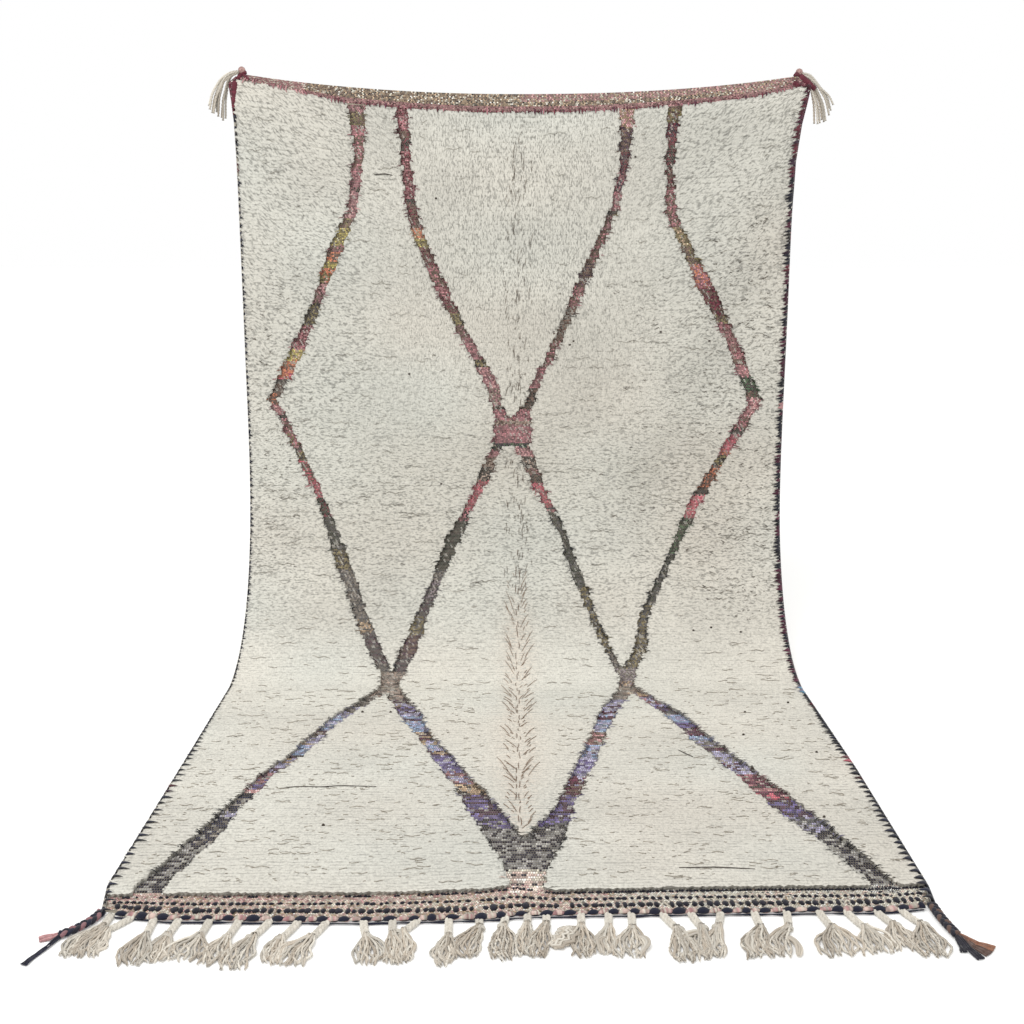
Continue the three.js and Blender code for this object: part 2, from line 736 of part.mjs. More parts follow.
function braidAndTail({ root, knot, knotDown, left, right, end }) {
  const rootDown = twineMiddle(root);
  const route = curveThrough([
    floorPoint([root, rootDown]),
    floorPoint([root + (knot - root) * BRAID.swing, rootDown + (knotDown - rootDown) * BRAID.swingAt]),
    floorPoint([knot, knotDown]),
  ]);
  const steps = Math.max(BRAID.fewestSteps, Math.round(route.getLength() / BRAID.step));
  const braid = strand(route, steps, (part, k) => {
    const plait = k % 2 === 0 ? BRAID.plait : -BRAID.plait;
    return boxSection(BRAID.wide + plait, BRAID.high - plait);
  }, UP);

  const width = right - left;
  const count = clamp(Math.round(width / LOCK.pitch), LOCK.fewest, LOCK.most);
  const locks = [];
  for (let k = 0; k < count; k += 1) {
    const part = (k + 0.5) / count;
    const tip = left + width * part;
    const start = knot + (part - 0.5) * BRAID.wide * FAN.rootShare;
    const short = FAN.uneven * scatter(k, Math.round(root));
    const lock = curveThrough([
      floorPoint([start, knotDown - LOCK.bury]),
      floorPoint([start + (tip - start) * FAN.openAcross, knotDown + (end - knotDown) * FAN.openDown]),
      floorPoint([tip, end - short]),
    ]);
    locks.push(strand(lock, FAN.steps, (along) => roofSection(
      LOCK.wide + (LOCK.tipWide - LOCK.wide) * along,
      LOCK.high + (LOCK.tipHigh - LOCK.high) * along,
    ), UP));
  }
  return [braid, ...locks];
}

function bottomFringe() {
  return joined([twine(), ...BRAIDS.flatMap(braidAndTail)]);
}

// The foot's edge at a place beside the middle line, near a corner
function footUnder(x) {
  const side = x < 0 ? 'left' : 'right';
  const shift = Math.sign(x) * read(SIDES, 'down', read(FOOT, 'across', x, 'end'), side);
  return read(FOOT, 'across', x - shift, 'end');
}

function seatOf({ seat, wide }) {
  if (seat === undefined) return [];
  const inner = Math.sign(seat) * (Math.abs(seat) - wide / 2);
  const start = footUnder(inner) + CLEARANCE;
  return [[seat, start], [seat, start + CORNER.straight]];
}

function cornerBraid(strands) {
  return joined(strands.map((row) => {
    const { route, wide, tip, high } = row;
    const curve = curveThrough([...seatOf(row), ...route].map(floorPoint));
    const steps = Math.max(BRAID.fewestSteps, Math.round(curve.getLength() / CORNER.step));
    return strand(curve, steps, (part, k) => {
      const side = k % 2 === 0 ? wide : -wide;
      const now = wide + (tip - wide) * part;
      return boxSection(
        now + side * CORNER.plait,
        high * (1 - CORNER.thinning * part) - side * CORNER.plaitHigh,
      );
    }, UP);
  }));
}

// The tassels at the pinned corners

function knobOf({ x, y, z }) {
  const ball = new THREE.SphereGeometry(KNOB.radius, KNOB.sides, KNOB.rings);
  ball.rotateX(Math.PI / 2);
  ball.translate(x, y, z);
  ball.deleteAttribute('normal');
  ball.deleteAttribute('uv');
  const merged = mergeVertices(ball, 1e-3);
  const index = Array.from(merged.index.array);
  const triangles = [];
  for (let k = 0; k < index.length; k += 3) {
    const [a, b, c] = index.slice(k, k + 3);
    if (a !== b && b !== c && c !== a) triangles.push([a, b, c]);
  }
  const position = merged.attributes.position;
  const points = [];
  for (let k = 0; k < position.count; k += 1) {
    points.push(new THREE.Vector3().fromBufferAttribute(position, k));
  }
  return solidOf({ points, triangles });
}

const squareSection = (wide) => [
  [-wide / 2, -wide / 2],
  [wide / 2, -wide / 2],
  [wide / 2, wide / 2],
  [-wide / 2, wide / 2],
];
const cordSection = (wide) => [
  [-wide / 2, -wide * TOP_CORD.back],
  [wide / 2, -wide * TOP_CORD.back],
  [0, wide * TOP_CORD.front],
];

function topTassel({ knob, neck, cords }) {
  const outward = Math.sign(knob.x);
  const forward = new THREE.Vector3(0, -1, 0);
  const neckCurve = curveThrough([
    new THREE.Vector3(knob.x, knob.y, knob.z),
    new THREE.Vector3((knob.x + neck.x) / 2, knob.y - NECK.dip, knob.z - NECK.dip),
    new THREE.Vector3(neck.x, neck.y, neck.z),
    new THREE.Vector3(neck.x + outward * NECK.over.x, neck.y, neck.z - NECK.over.z),
  ]);
  const wrapped = strand(neckCurve, NECK.steps, () => squareSection(NECK.wide), forward);

  const foot = place(outward * HALF_WIDTH, 0, CLOTH / 2);
  foot.x -= (outward * TASSEL_ROOT.wide) / 2;
  foot.z += CLEARANCE;
  const rootCurve = curveThrough([
    foot,
    foot.clone().setZ(foot.z + TASSEL_ROOT.rise),
    new THREE.Vector3(knob.x, knob.y, knob.z),
  ]);
  const root = strand(rootCurve, TASSEL_ROOT.steps, () => squareSection(TASSEL_ROOT.wide), forward);
  const hanging = cords.map((end, k) => {
    const part = k / (cords.length - 1) - 0.5;
    const { from, arc, sag } = TOP_CORD;
    const curve = curveThrough([
      new THREE.Vector3(neck.x + outward * from.x, neck.y + part * from.y, neck.z - from.z),
      new THREE.Vector3((neck.x + outward * arc.x + end.x) / 2, (neck.y + end.y) / 2, neck.z - arc.z),
      new THREE.Vector3(end.x - outward * sag.x, end.y, (neck.z + end.z) / 2 - sag.z),
      new THREE.Vector3(end.x, end.y, end.z),
    ]);
    return strand(curve, TOP_CORD.steps, (along) => cordSection(
      TOP_CORD.wide + (TOP_CORD.tip - TOP_CORD.wide) * along,
    ), forward);
  });
  return joined([knobOf(knob), wrapped, root, ...hanging]);
}

// The object

const rug = new THREE.Group();

function add(name, geometry, color, roughness) {
  const material = new THREE.MeshStandardMaterial({ color, roughness, metalness: 0 });
  const mesh = new THREE.Mesh(geometry, material);
  mesh.name = name;
  rug.add(mesh);
}

add('rug_body', rugBody(), CREAM, 0.95);
add('selvedge_left', selvedge(-1), NAVY, 0.9);
add('selvedge_right', selvedge(1), NAVY, 0.9);
add('bottom_fringe', bottomFringe(), WARP, 0.92);
add('corner_braid_left', cornerBraid(CORNER_LEFT), NAVY, 0.9);
add('corner_braid_right', cornerBraid(CORNER_RIGHT), DARK_BRAID, 0.9);
add('tassel_top_left', topTassel(TASSEL_LEFT), PLUM, 0.92);
add('tassel_top_right', topTassel(TASSEL_RIGHT), PLUM, 0.92);

export default rug;
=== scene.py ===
# An azilal rug of undyed wool, hung by its two top corners, its foot run out over a pale floor.
#
# A place on the rug is given by three lengths in millimetres: across, from the rug's middle line;
# down, along the cloth from its top edge; and out, from the back of the cloth towards the pile.
# The function place() turns them into points in metres, so every piece follows one drape.

import math

import bpy
import numpy as np
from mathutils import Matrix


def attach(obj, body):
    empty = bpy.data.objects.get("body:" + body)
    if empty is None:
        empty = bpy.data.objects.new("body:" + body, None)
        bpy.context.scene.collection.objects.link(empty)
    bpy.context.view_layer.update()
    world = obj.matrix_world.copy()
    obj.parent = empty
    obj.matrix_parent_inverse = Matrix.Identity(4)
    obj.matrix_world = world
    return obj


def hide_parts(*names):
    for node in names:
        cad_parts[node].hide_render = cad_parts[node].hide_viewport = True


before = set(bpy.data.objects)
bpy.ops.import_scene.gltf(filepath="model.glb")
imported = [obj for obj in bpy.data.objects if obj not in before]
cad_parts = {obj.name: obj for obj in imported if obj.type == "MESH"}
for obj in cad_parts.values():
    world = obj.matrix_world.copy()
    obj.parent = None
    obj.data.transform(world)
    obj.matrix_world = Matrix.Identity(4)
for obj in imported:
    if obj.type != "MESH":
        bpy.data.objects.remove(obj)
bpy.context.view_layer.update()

MM = 0.001
BODY = "root"

# The cloth: half its width, the thickness of the flat weave, and the ends of its parts
HALF_WIDTH = 743.0
CLOTH = 5.0
HEADER = 46.0
FOOT_TOP = 2722.0
FOOT_END = 2800.0
CLEARANCE = 0.35
BOW_FADES = {"header": 200.0, "foot": 220.0}

# The bend from hanging to lying: where it starts and ends down the cloth, and how it tightens
BEND = {"start": 770.0, "end": 1735.0, "power": 1.66, "ease": 0.533, "step": 5.0}

# The top edge rises from its middle to the pinned corners, and the rise fades down the cloth
SAG = {"left": 50.0, "left_power": 2.0, "right": 44.0, "right_power": 2.3, "fades_at": 750.0, "fade": 1.6}

# How far each side edge stands out of a straight rug: down, left, right
SIDES = (
    (0, -22, 0), (22, 10, 27), (60, 5, 20), (110, 1, 10), (200, 0, 0), (1200, 4, 0),
    (1600, 5, 1), (2200, 0, 6), (2700, -3, -3), (2800, -24, -16),
)

# How deep the woven header reads: across, deep
HEADER_DEPTH = (
    (-750, 8), (-667, 12), (-600, 18), (-450, 36), (-100, 44), (150, 44), (450, 38), (620, 33), (750, 18),
)

# Where the bottom band starts and where the cloth ends: across, top, end
FOOT = (
    (-750, 2738, 2775), (-600, 2733, 2798), (-250, 2730, 2802), (-70, 2718, 2794), (0, 2702, 2785),
    (70, 2720, 2781), (350, 2710, 2774), (650, 2706, 2768), (750, 2700, 2752),
)

# Soft ridges and troughs of the hanging cloth: from across, from down, to across, to down, wide, high
FOLDS = (
    (745, 60, 350, 960, 85, 13),
    (740, 330, 440, 1050, 70, -9),
    (720, 45, 120, 95, 60, 7),
    (-735, 60, -500, 520, 80, 6),
    (-480, 760, -120, 820, 190, 10),
    (120, 1130, 640, 1180, 120, -7),
)
FOLDS_END = {"from": 1150.0, "to": 1500.0}

# How steeply the side edges' reach falls off towards the rug's middle
SIDE_REACH_POWER = 4

# The flat-woven lines of the lattice: down, across, width
OUTER_LEFT = (
    (40, -424, 46), (150, -419, 27), (300, -440, 27), (440, -502, 40), (560, -549, 25), (690, -610, 42),
    (812, -676, 28), (960, -607, 28), (1110, -543, 23), (1300, -480, 42), (1450, -425, 36),
    (1640, -345, 36), (1780, -305, 42), (1900, -264, 50), (1980, -235, 40), (2070, -202, 36),
    (2160, -166, 44), (2260, -127, 48), (2320, -100, 52), (2400, -74, 66), (2540, -22, 66),
    (2660, -2, 38), (2720, 0, 32),
)
INNER_LEFT = (
    (40, -303, 36), (200, -291, 26), (330, -278, 34), (460, -226, 34), (610, -155, 27), (700, -106, 32),
    (760, -72, 38), (793, -63, 35), (827, -52, 30), (840, -46, 32), (857, -40, 36), (872, -35, 46),
    (893, -30, 64), (941, -30, 68), (944, 20, 46), (953, 22, 42), (967, 27, 40), (980, 35, 42),
    (1007, 47, 39), (1043, 58, 33), (1120, 96, 26), (1200, 133, 22), (1300, 169, 30), (1460, 224, 20),
    (1620, 277, 20), (1750, 312, 32), (1900, 387, 44), (2050, 433, 50), (2200, 488, 46), (2400, 558, 62),
    (2550, 617, 52), (2720, 668, 44),
)
INNER_RIGHT = (
    (40, 297, 40), (200, 289, 24), (300, 267, 22), (450, 200, 33), (550, 159, 30), (700, 92, 22),
    (760, 60, 26), (793, 48, 26), (827, 37, 28), (840, 28, 35), (857, 20, 45), (872, 15, 56),
    (893, 12, 68), (941, 8, 70), (944, -54, 36), (953, -54, 36), (967, -62, 34), (980, -69, 29),
    (1007, -78, 35), (1043, -93, 32), (1130, -137, 23), (1200, -171, 42), (1350, -230, 27),
    (1530, -288, 42), (1640, -312, 36), (1780, -366, 32), (1950, -445, 30), (2150, -502, 34),
    (2250, -546, 27), (2400, -583, 34), (2530, -612, 52), (2650, -646, 46), (2720, -672, 56),
)
OUTER_RIGHT = (
    (40, 418, 38), (200, 414, 22), (310, 419, 30), (400, 463, 27), (510, 521, 46), (650, 597, 38),
    (817, 670, 38), (960, 592, 36), (1110, 508, 35), (1250, 443, 22), (1350, 397, 26), (1450, 353, 27),
    (1540, 342, 33), (1620, 308, 38), (1750, 282, 34), (1850, 242, 42), (2000, 202, 32), (2150, 164, 40),
    (2270, 132, 34), (2350, 112, 38), (2460, 80, 46), (2540, 52, 78), (2660, 34, 36), (2720, 32, 36),
)

# The yarns, as they look in plain light
YARN = {
    "chalk": (214, 211, 202),
    "cream": (206, 199, 184),
    "peach": (202, 178, 168),
    "pink": (178, 134, 134),
    "rose": (148, 100, 106),
    "mauve": (134, 98, 102),
    "wine": (96, 44, 54),
    "maroon": (84, 40, 58),
    "red": (166, 84, 96),
    "rust": (166, 104, 80),
    "russet": (136, 96, 76),
    "tan": (160, 138, 114),
    "mustard": (160, 148, 90),
    "olive": (112, 102, 72),
    "brown": (96, 76, 68),
    "dark": (58, 54, 52),
    "green": (62, 84, 62),
    "blackgreen": (52, 58, 52),
    "charcoal": (76, 76, 78),
    "pepper": (122, 120, 118),
    "grey": (118, 112, 106),
    "taupe": (142, 126, 116),
    "haze": (122, 112, 118),
    "plum": (66, 46, 60),
    "violet": (94, 84, 124),
    "lilac": (146, 142, 166),
    "blue": (128, 144, 170),
    "sky": (110, 160, 190),
    "navy": (30, 32, 48),
    "black": (36, 35, 44),
}

# Runs of yarn down each line: where the run starts, its main yarn, the yarn mixed in, and the share of
# the yarn mixed in where it isn't the usual one
MIXED_SHARE = 0.4
OUTER_LEFT_YARN = (
    (0, "mauve", "brown", 0.3), (62, "brown", "olive"), (94, "rose", "brown", 0.3),
    (132, "brown", "rose"), (200, "mauve", "rose"), (250, "dark", "mauve"), (264, "mauve", "pink", 0.35),
    (328, "brown", "olive", 0.35), (352, "mustard", "olive", 0.35), (398, "brown", "rose"),
    (415, "rust", "brown"), (440, "olive", "mustard"), (458, "rust", "olive"),
    (478, "olive", "rust", 0.3), (495, "pink", "brown", 0.3), (520, "mauve", "brown"),
    (550, "dark", "olive", 0.35), (608, "wine", "rose"), (674, "mustard", "tan", 0.35),
    (703, "rust", "tan", 0.3), (718, "brown", "rust"), (728, "rust", "red", 0.3),
    (755, "dark", "grey", 0.3), (770, "grey", "brown"), (796, "brown", "rust"), (826, "rose", "pink"),
    (850, "rose", "dark"), (872, "brown", "rose", 0.3), (902, "rose", "olive", 0.3),
    (942, "mauve", "dark"), (960, "dark", "olive"), (985, "red", "brown", 0.25),
    (1012, "brown", "red", 0.3), (1048, "red", "rose"), (1092, "blackgreen", "wine", 0.3),
    (1150, "blackgreen", "charcoal"), (1240, "dark", "olive"), (1300, "charcoal", "grey"),
    (1450, "tan", "charcoal"), (1492, "charcoal", "plum", 0.35), (1600, "grey", "charcoal"),
    (1635, "taupe", "grey"), (1758, "dark", "taupe", 0.3), (1768, "taupe", "grey"),
    (1800, "grey", "plum"), (1822, "taupe", "lilac"), (1848, "plum", "violet", 0.3),
    (1878, "lilac", "plum", 0.35), (1905, "lilac", "blue"), (1925, "plum", "violet", 0.35),
    (1942, "lilac", "blue", 0.45), (2010, "tan", "plum", 0.3), (2042, "dark", "maroon"),
    (2056, "tan", "lilac"), (2085, "blue", "lilac"), (2120, "tan", "plum"),
    (2140, "violet", "lilac", 0.35), (2230, "mauve", "lilac", 0.45), (2290, "tan", "dark", 0.35),
    (2342, "violet", "plum", 0.3), (2450, "black", "violet", 0.35), (2490, "pepper", "black", 0.45),
    (2655, "peach", "cream", 0.2), (2668, "black", "peach", 0.5), (2676, "peach", "cream", 0.2),
    (2700, "black", "peach", 0.5), (2707, "peach", "cream", 0.2),
)
INNER_LEFT_YARN = (
    (0, "wine", "rose"), (100, "brown", "wine"), (120, "dark", "wine", 0.3), (150, "wine", "rose", 0.35),
    (240, "rose", "wine"), (274, "dark", "wine", 0.3), (285, "brown", "wine"),
    (340, "brown", "mauve", 0.3), (350, "tan", "rust"), (376, "olive", "mustard"), (400, "wine", "brown"),
    (450, "brown", "rose", 0.35), (500, "rose", "wine"), (550, "brown", "wine", 0.35),
    (574, "olive", "dark"), (605, "brown", "mauve"), (640, "mauve", "rose"), (700, "dark", "olive"),
    (722, "mauve", "pink", 0.45), (780, "mauve", "taupe"), (828, "dark", "brown"),
    (841, "mauve", "rose", 0.45), (871, "brown", "taupe", 0.45), (884, "mauve", "rose", 0.45),
    (936, "black", "green"), (948, "mauve", "pink", 0.45), (974, "dark", "taupe", 0.35),
    (1010, "brown", "mauve"), (1026, "dark", "brown"), (1048, "red", "rose", 0.35),
    (1118, "charcoal", "rose", 0.3), (1135, "blackgreen", "charcoal"), (1350, "charcoal", "olive"),
    (1560, "grey", "charcoal"), (1620, "haze", "grey"), (1680, "tan", "haze", 0.35),
    (1702, "taupe", "grey", 0.45), (1750, "tan", "haze"), (1772, "mauve", "lilac", 0.45),
    (1830, "lilac", "violet", 0.35), (1846, "plum", "violet"), (1872, "charcoal", "plum", 0.3),
    (1900, "lilac", "blue"), (1950, "violet", "plum"), (1982, "maroon", "plum", 0.35),
    (2030, "blue", "lilac"), (2062, "lilac", "grey"), (2100, "plum", "maroon", 0.3),
    (2118, "lilac", "grey", 0.45), (2180, "maroon", "lilac"), (2200, "lilac", "plum"),
    (2242, "maroon", "rose"), (2298, "dark", "maroon", 0.3), (2308, "pink", "rose"),
    (2324, "maroon", "red", 0.25), (2370, "violet", "plum"), (2440, "lilac", "charcoal", 0.45),
    (2480, "black", "lilac", 0.3), (2530, "pepper", "black", 0.5),
)
INNER_RIGHT_YARN = (
    (0, "pink", "tan"), (90, "plum", "brown"), (150, "plum", "wine"), (200, "rose", "plum"),
    (260, "mauve", "rose"), (302, "dark", "olive", 0.3), (314, "mauve", "brown"),
    (350, "brown", "rose", 0.3), (440, "plum", "brown"), (500, "rose", "brown"), (560, "brown", "grey"),
    (640, "brown", "rose", 0.3), (722, "rose", "mauve"), (780, "brown", "dark", 0.35),
    (830, "dark", "brown"), (841, "mauve", "rose", 0.45), (871, "brown", "taupe", 0.45),
    (884, "mauve", "rose", 0.45), (936, "black", "green"), (949, "dark", "brown", 0.3),
    (956, "rose", "mauve"), (976, "taupe", "brown"), (1000, "dark", "taupe", 0.35),
    (1044, "red", "rose", 0.35), (1130, "rose", "black"), (1160, "blackgreen", "dark"),
    (1300, "charcoal", "grey", 0.35), (1330, "haze", "charcoal", 0.35), (1385, "charcoal", "plum"),
    (1440, "olive", "charcoal", 0.45), (1500, "plum", "brown"), (1580, "charcoal", "plum"),
    (1635, "taupe", "grey"), (1758, "dark", "taupe", 0.3), (1768, "taupe", "grey"),
    (1785, "dark", "grey"), (1850, "grey", "lilac"), (1900, "lilac", "blue"),
    (2000, "brown", "plum", 0.3), (2022, "lilac", "grey"), (2060, "tan", "lilac"),
    (2085, "blue", "lilac"), (2142, "dark", "plum", 0.3), (2160, "lilac", "tan"), (2196, "lilac", "plum"),
    (2230, "plum", "mauve"), (2270, "violet", "mauve"), (2318, "pink", "peach"),
    (2336, "navy", "grey", 0.3), (2420, "charcoal", "lilac", 0.3), (2440, "navy", "grey", 0.3),
    (2560, "pepper", "black", 0.5),
)
OUTER_RIGHT_YARN = (
    (0, "olive", "brown"), (85, "wine", "plum"), (130, "dark", "wine"), (200, "brown", "wine"),
    (250, "brown", "rose"), (350, "olive", "tan"), (400, "brown", "olive"), (446, "rose", "rust"),
    (510, "wine", "brown"), (580, "olive", "brown"), (602, "rose", "wine"), (700, "brown", "wine"),
    (718, "rose", "pink"), (750, "green", "dark"), (790, "brown", "green", 0.3), (808, "pink", "rose"),
    (860, "rose", "brown", 0.3), (895, "dark", "rose", 0.3), (912, "red", "rose"), (955, "rose", "rust"),
    (972, "olive", "dark"), (1000, "rust", "brown"), (1062, "dark", "brown"), (1085, "red", "pink", 0.3),
    (1148, "blackgreen", "green", 0.3), (1250, "charcoal", "blackgreen"),
    (1400, "charcoal", "olive", 0.35), (1620, "haze", "grey"), (1680, "tan", "haze", 0.35),
    (1702, "taupe", "grey", 0.45), (1800, "lilac", "plum", 0.35), (1880, "maroon", "plum"),
    (1895, "lilac", "blue"), (1912, "maroon", "plum"), (1932, "blue", "lilac", 0.5),
    (2010, "brown", "pink"), (2048, "pink", "brown"), (2080, "lilac", "blue"), (2122, "plum", "lilac"),
    (2134, "lilac", "blue"), (2166, "violet", "lilac", 0.45), (2250, "maroon", "lilac", 0.35),
    (2300, "maroon", "brown"), (2340, "violet", "plum", 0.35), (2450, "charcoal", "violet", 0.35),
    (2480, "pepper", "black", 0.45), (2655, "peach", "cream", 0.2), (2668, "black", "peach", 0.5),
    (2676, "peach", "cream", 0.2), (2700, "black", "peach", 0.5), (2707, "peach", "cream", 0.2),
)
LINES = (
    (OUTER_LEFT, OUTER_LEFT_YARN),
    (INNER_LEFT, INNER_LEFT_YARN),
    (INNER_RIGHT, INNER_RIGHT_YARN),
    (OUTER_RIGHT, OUTER_RIGHT_YARN),
)

# How light the yarn lies in the lattice, at its edges, in the side cords, in their teeth and at the foot
YARN_LIGHT = 1.4
# Painted shade: the yarn ends at the lines' edges are painted darker than the lines' own yarn, as the
# shaded edge of the pile
YARN_END_PAINTED_SHADE = 0.75
CORD_LIGHT = 0.86
TOOTH_LIGHT = 0.7
FOOT_LIGHT = 1.03

# The share of stitches in which pale warp shows, with how much of its own tint such a stitch keeps; the
# share of rows that run in streaks of the yarn mixed in; and how unevenly stitches and clumps are lit
WARP_TICKS = 0.12
UNEVEN_YARN = {
    "own": 0.45, "warp": 0.5, "streaks": 0.16, "streak_share": 0.8, "darkest": 0.5, "clump": 6,
    "clump_darkest": 0.75, "clump_range": 0.5,
}

# Depths in the pile at which a line is looked for, and where the weave is drawn for the floor
SIGHT_SHARES = (0.5, 1.0)
FLOOR_FROM = 1700.0

# The flat weave: a weft row's height, a stitch's width, and how unevenly the lines' edges are woven
WEFT = 4.2
STITCH = 4.8
EDGE = {"rows": 3, "step": 4.6, "jitter": 1.2}

# The knotted pile: its rows and tufts, hanging and on the floor, and how each tuft stands and leans
PILE = {
    "row": 7.8, "floor_row": 9.4, "pitch": 9.2, "floor_pitch": 10.4, "wide": 22.0, "hung_wide": 9.5,
    "lean": 10.5, "hung_lean": 24.0, "sway": 2.4, "root": 4.7, "top": 14.0, "rise": 0.7, "floor_rise": 0.45,
    "uneven": 0.9, "drop": 0.7, "crown": 0.35, "over_left": 2.0, "floor_over_left": -6.0,
    "short_right": 3.0,
}

# Beside a line, how near its edge tufts are combed back and how far they then stand from it; the waves of
# the rows; how much of its lean and sway a tuft has at its belly; and where the pile turns to the floor's
BRINK = {"inner": -3.8, "outer": 5.0, "stand": 4.6}
WAVE = {"most": 2.6, "across": 46.0, "down": 19.0}
BELLY = {"lean": 0.38, "sway": 0.42}
TURNS_TO_FLOOR = {"from": 1350.0, "over": 450.0}

# The pile's pieces, and where each starts down the cloth
PILE_PARTS = (("pile_upper", 0), ("pile_middle", 700), ("pile_bend", 1380), ("pile_floor", 2060))

# The matted wool between the tufts: strips a few weft rows high, with painted shade: a little darker than
# the tufts, and darker still along their roots
BANK = {"rows": 3, "segment": 46.0, "top": 13.9, "floor_top": 14.2, "tint": 0.96, "painted_root_shade": 0.8}

# The undyed wool's colour, and how bright it is painted down the rug: painted light and shade, darkest at
# the top and lightest near the end of the bend, where the cloth faces up to the light
PILE_CREAM = (219, 218, 208)
PILE_WARM = (221, 213, 200)
PAINTED_WOOL_LIGHT = (
    (0, 0.76), (300, 0.78), (700, 0.81), (1100, 0.83), (1400, 0.85), (1650, 0.945), (1850, 0.92),
    (2100, 0.86), (2400, 0.832), (2722, 0.81),
)

# The dark flecks of painted shade between the locks: their size along x, y and z, in millimetres, the part
# of the wool's noise that they take, and how dark they are; near the top's middle they hang, elsewhere they
# lie
LYING_SHADE_FLECKS = {"across": 10.0, "away": 8.0, "down": 3.4, "from": 0.36, "to": 0.50, "dark": 0.56}
HANGING_SHADE_FLECKS = {"across": 3.0, "away": 9.0, "down": 9.0, "from": 0.36, "to": 0.50, "dark": 0.56}
FLOOR_SHADE_FLECKS = {"across": 4.6, "away": 7.0, "down": 7.0, "from": 0.36, "to": 0.50, "dark": 0.84}
FLECK_DETAIL = 1.5
FLECK_DRIFT = {"cell": 70.0, "most": 26.0}
FLECKS_HANG = {"across": 150.0, "fades": 330.0, "down": 500.0, "ends": 1000.0}
FLECKS_SLANT = {"most": 0.5, "ends": 850.0}
FLECKS_FLOOR = {"from": -100.0, "full": -340.0}

# The slit down the middle of the pile, where its tufts part
CREASE = {"across": 5.0, "half": 46.0, "clear": 80.0, "from": 1300.0, "full": 1500.0, "end": 2560.0}

# All the wool: how little it shines, and the range of the fibres' noise that turns into light and dark
WOOL = {"shine": 0.15, "sheen_rough": 0.6, "detail": 3.0, "low": 0.3, "high": 0.7}

# The eye's place and view, in metres and degrees
EYE = (-0.010, -3.355, -0.391)
EYE_DOWN = 12.54
LENS = 42.19
SENSOR = 36.0

# The braids of the fringe: root across, knot, knot down, the reach of the tail's two sides, its end
BRAIDS = (
    (-708, -710, 2839, -755, -728, 2915), (-669, -708, 2850, -728, -690, 2915),
    (-629, -628, 2867, -657, -610, 2939), (-586, -593, 2864, -615, -574, 2929),
    (-532, -538, 2869, -581, -516, 2927), (-481, -491, 2869, -518, -478, 2939),
    (-428, -451, 2869, -489, -438, 2948), (-378, -402, 2874, -421, -388, 2929),
    (-329, -352, 2872, -403, -344, 2939), (-266, -254, 2867, -269, -217, 2936),
    (-216, -211, 2862, -218, -191, 2934), (-173, -203, 2854, -196, -175, 2929),
    (-119, -117, 2869, -139, -107, 2941), (-67, -64, 2840, -108, -64, 2918),
    (-21, -27, 2836, -45, -7, 2925), (17, 16, 2832, -2, 25, 2911), (50, 48, 2832, 19, 52, 2915),
    (110, 108, 2838, 90, 126, 2915),
    (158, 154, 2842, 132, 162, 2906), (198, 195, 2842, 161, 213, 2915), (252, 276, 2844, 257, 295, 2929),
    (302, 317, 2840, 296, 320, 2920), (354, 340, 2838, 312, 342, 2915), (413, 415, 2842, 374, 418, 2920),
    (470, 461, 2840, 411, 449, 2915), (527, 539, 2842, 498, 574, 2915), (575, 597, 2842, 577, 629, 2906),
    (628, 649, 2832, 621, 671, 2896), (672, 698, 2830, 661, 716, 2915),
)
WARP_PALE = (214, 208, 196)
WARP_TAN = (182, 170, 154)
BRAID = {"step": 3.0, "under": 9.5, "bend": 1.32}
PLAIT = {"swing": 4.4, "rise": 1.8, "thick": 3.3, "flat": 0.8, "turn": 27.0, "low": 4.6, "sides": 6}
CORNER_PLAIT = {"swing": 5.2, "rise": 2.0, "thick": 4.4, "flat": 0.8, "turn": 34.0, "low": 6.0, "sides": 8}
TAIL = {
    "yarns": 15, "thick": 3.0, "thin": 1.9, "turn": 17.0, "steps": 14, "wave": 4.2, "uneven": 16.0,
    "spread": 4.0, "hidden": 12.0, "curl_in": 7.0,
}

# The turns of yarn that close a braid: how far above the tail they start, how far apart they lie, the
# half width of the middle one and how much less the others', their half height, and half a yarn's thickness
KNOT = {
    "turns": 3, "above": 7.0, "apart": 3.0, "wide": 7.4, "less": 0.8, "slant": 1.2, "low": 5.2, "high": 4.2,
    "yarn": 1.9,
}

# Locks that lie apart from their tails: the way they lie, how many yarns, how far apart and how kinked
LOOSE = (
    {"route": ((56, 2886), (76, 2872), (86, 2850), (84, 2826)), "yarns": 14, "spread": 36.0,
     "kink": 4.2, "waves": 4.0},
    {"route": ((452, 2856), (463, 2876), (466, 2898), (462, 2915)), "yarns": 6, "spread": 10.0,
     "kink": 0.8, "waves": 1.5},
    {"route": ((276, 2856), (264, 2872), (261, 2895), (257, 2917)), "yarns": 3, "spread": 4.0,
     "kink": 1.0, "waves": 1.5},
    {"route": ((415, 2850), (394, 2856), (386, 2878), (389, 2904)), "yarns": 7, "spread": 13.0,
     "kink": 1.6, "waves": 2.0},
    {"route": ((196, 2856), (212, 2866), (215, 2886), (203, 2910)), "yarns": 6, "spread": 10.0,
     "kink": 1.4, "waves": 1.5},
    {"route": ((320, 2854), (302, 2852), (284, 2858), (272, 2872)), "yarns": 6, "spread": 11.0,
     "kink": 1.4, "waves": 1.5},
    {"route": ((154, 2856), (140, 2864), (134, 2882), (140, 2906)), "yarns": 6, "spread": 10.0,
     "kink": 1.4, "waves": 1.5},
)
TWINE = {
    "left": -700.0, "right": 714.0, "step": 2.6, "turn": 39.0, "swing": 0.9, "rise": 2.4, "thin": 2.8,
    "fat": 7.6, "flat": 0.62, "middle": 8.2, "under": 15.8,
}

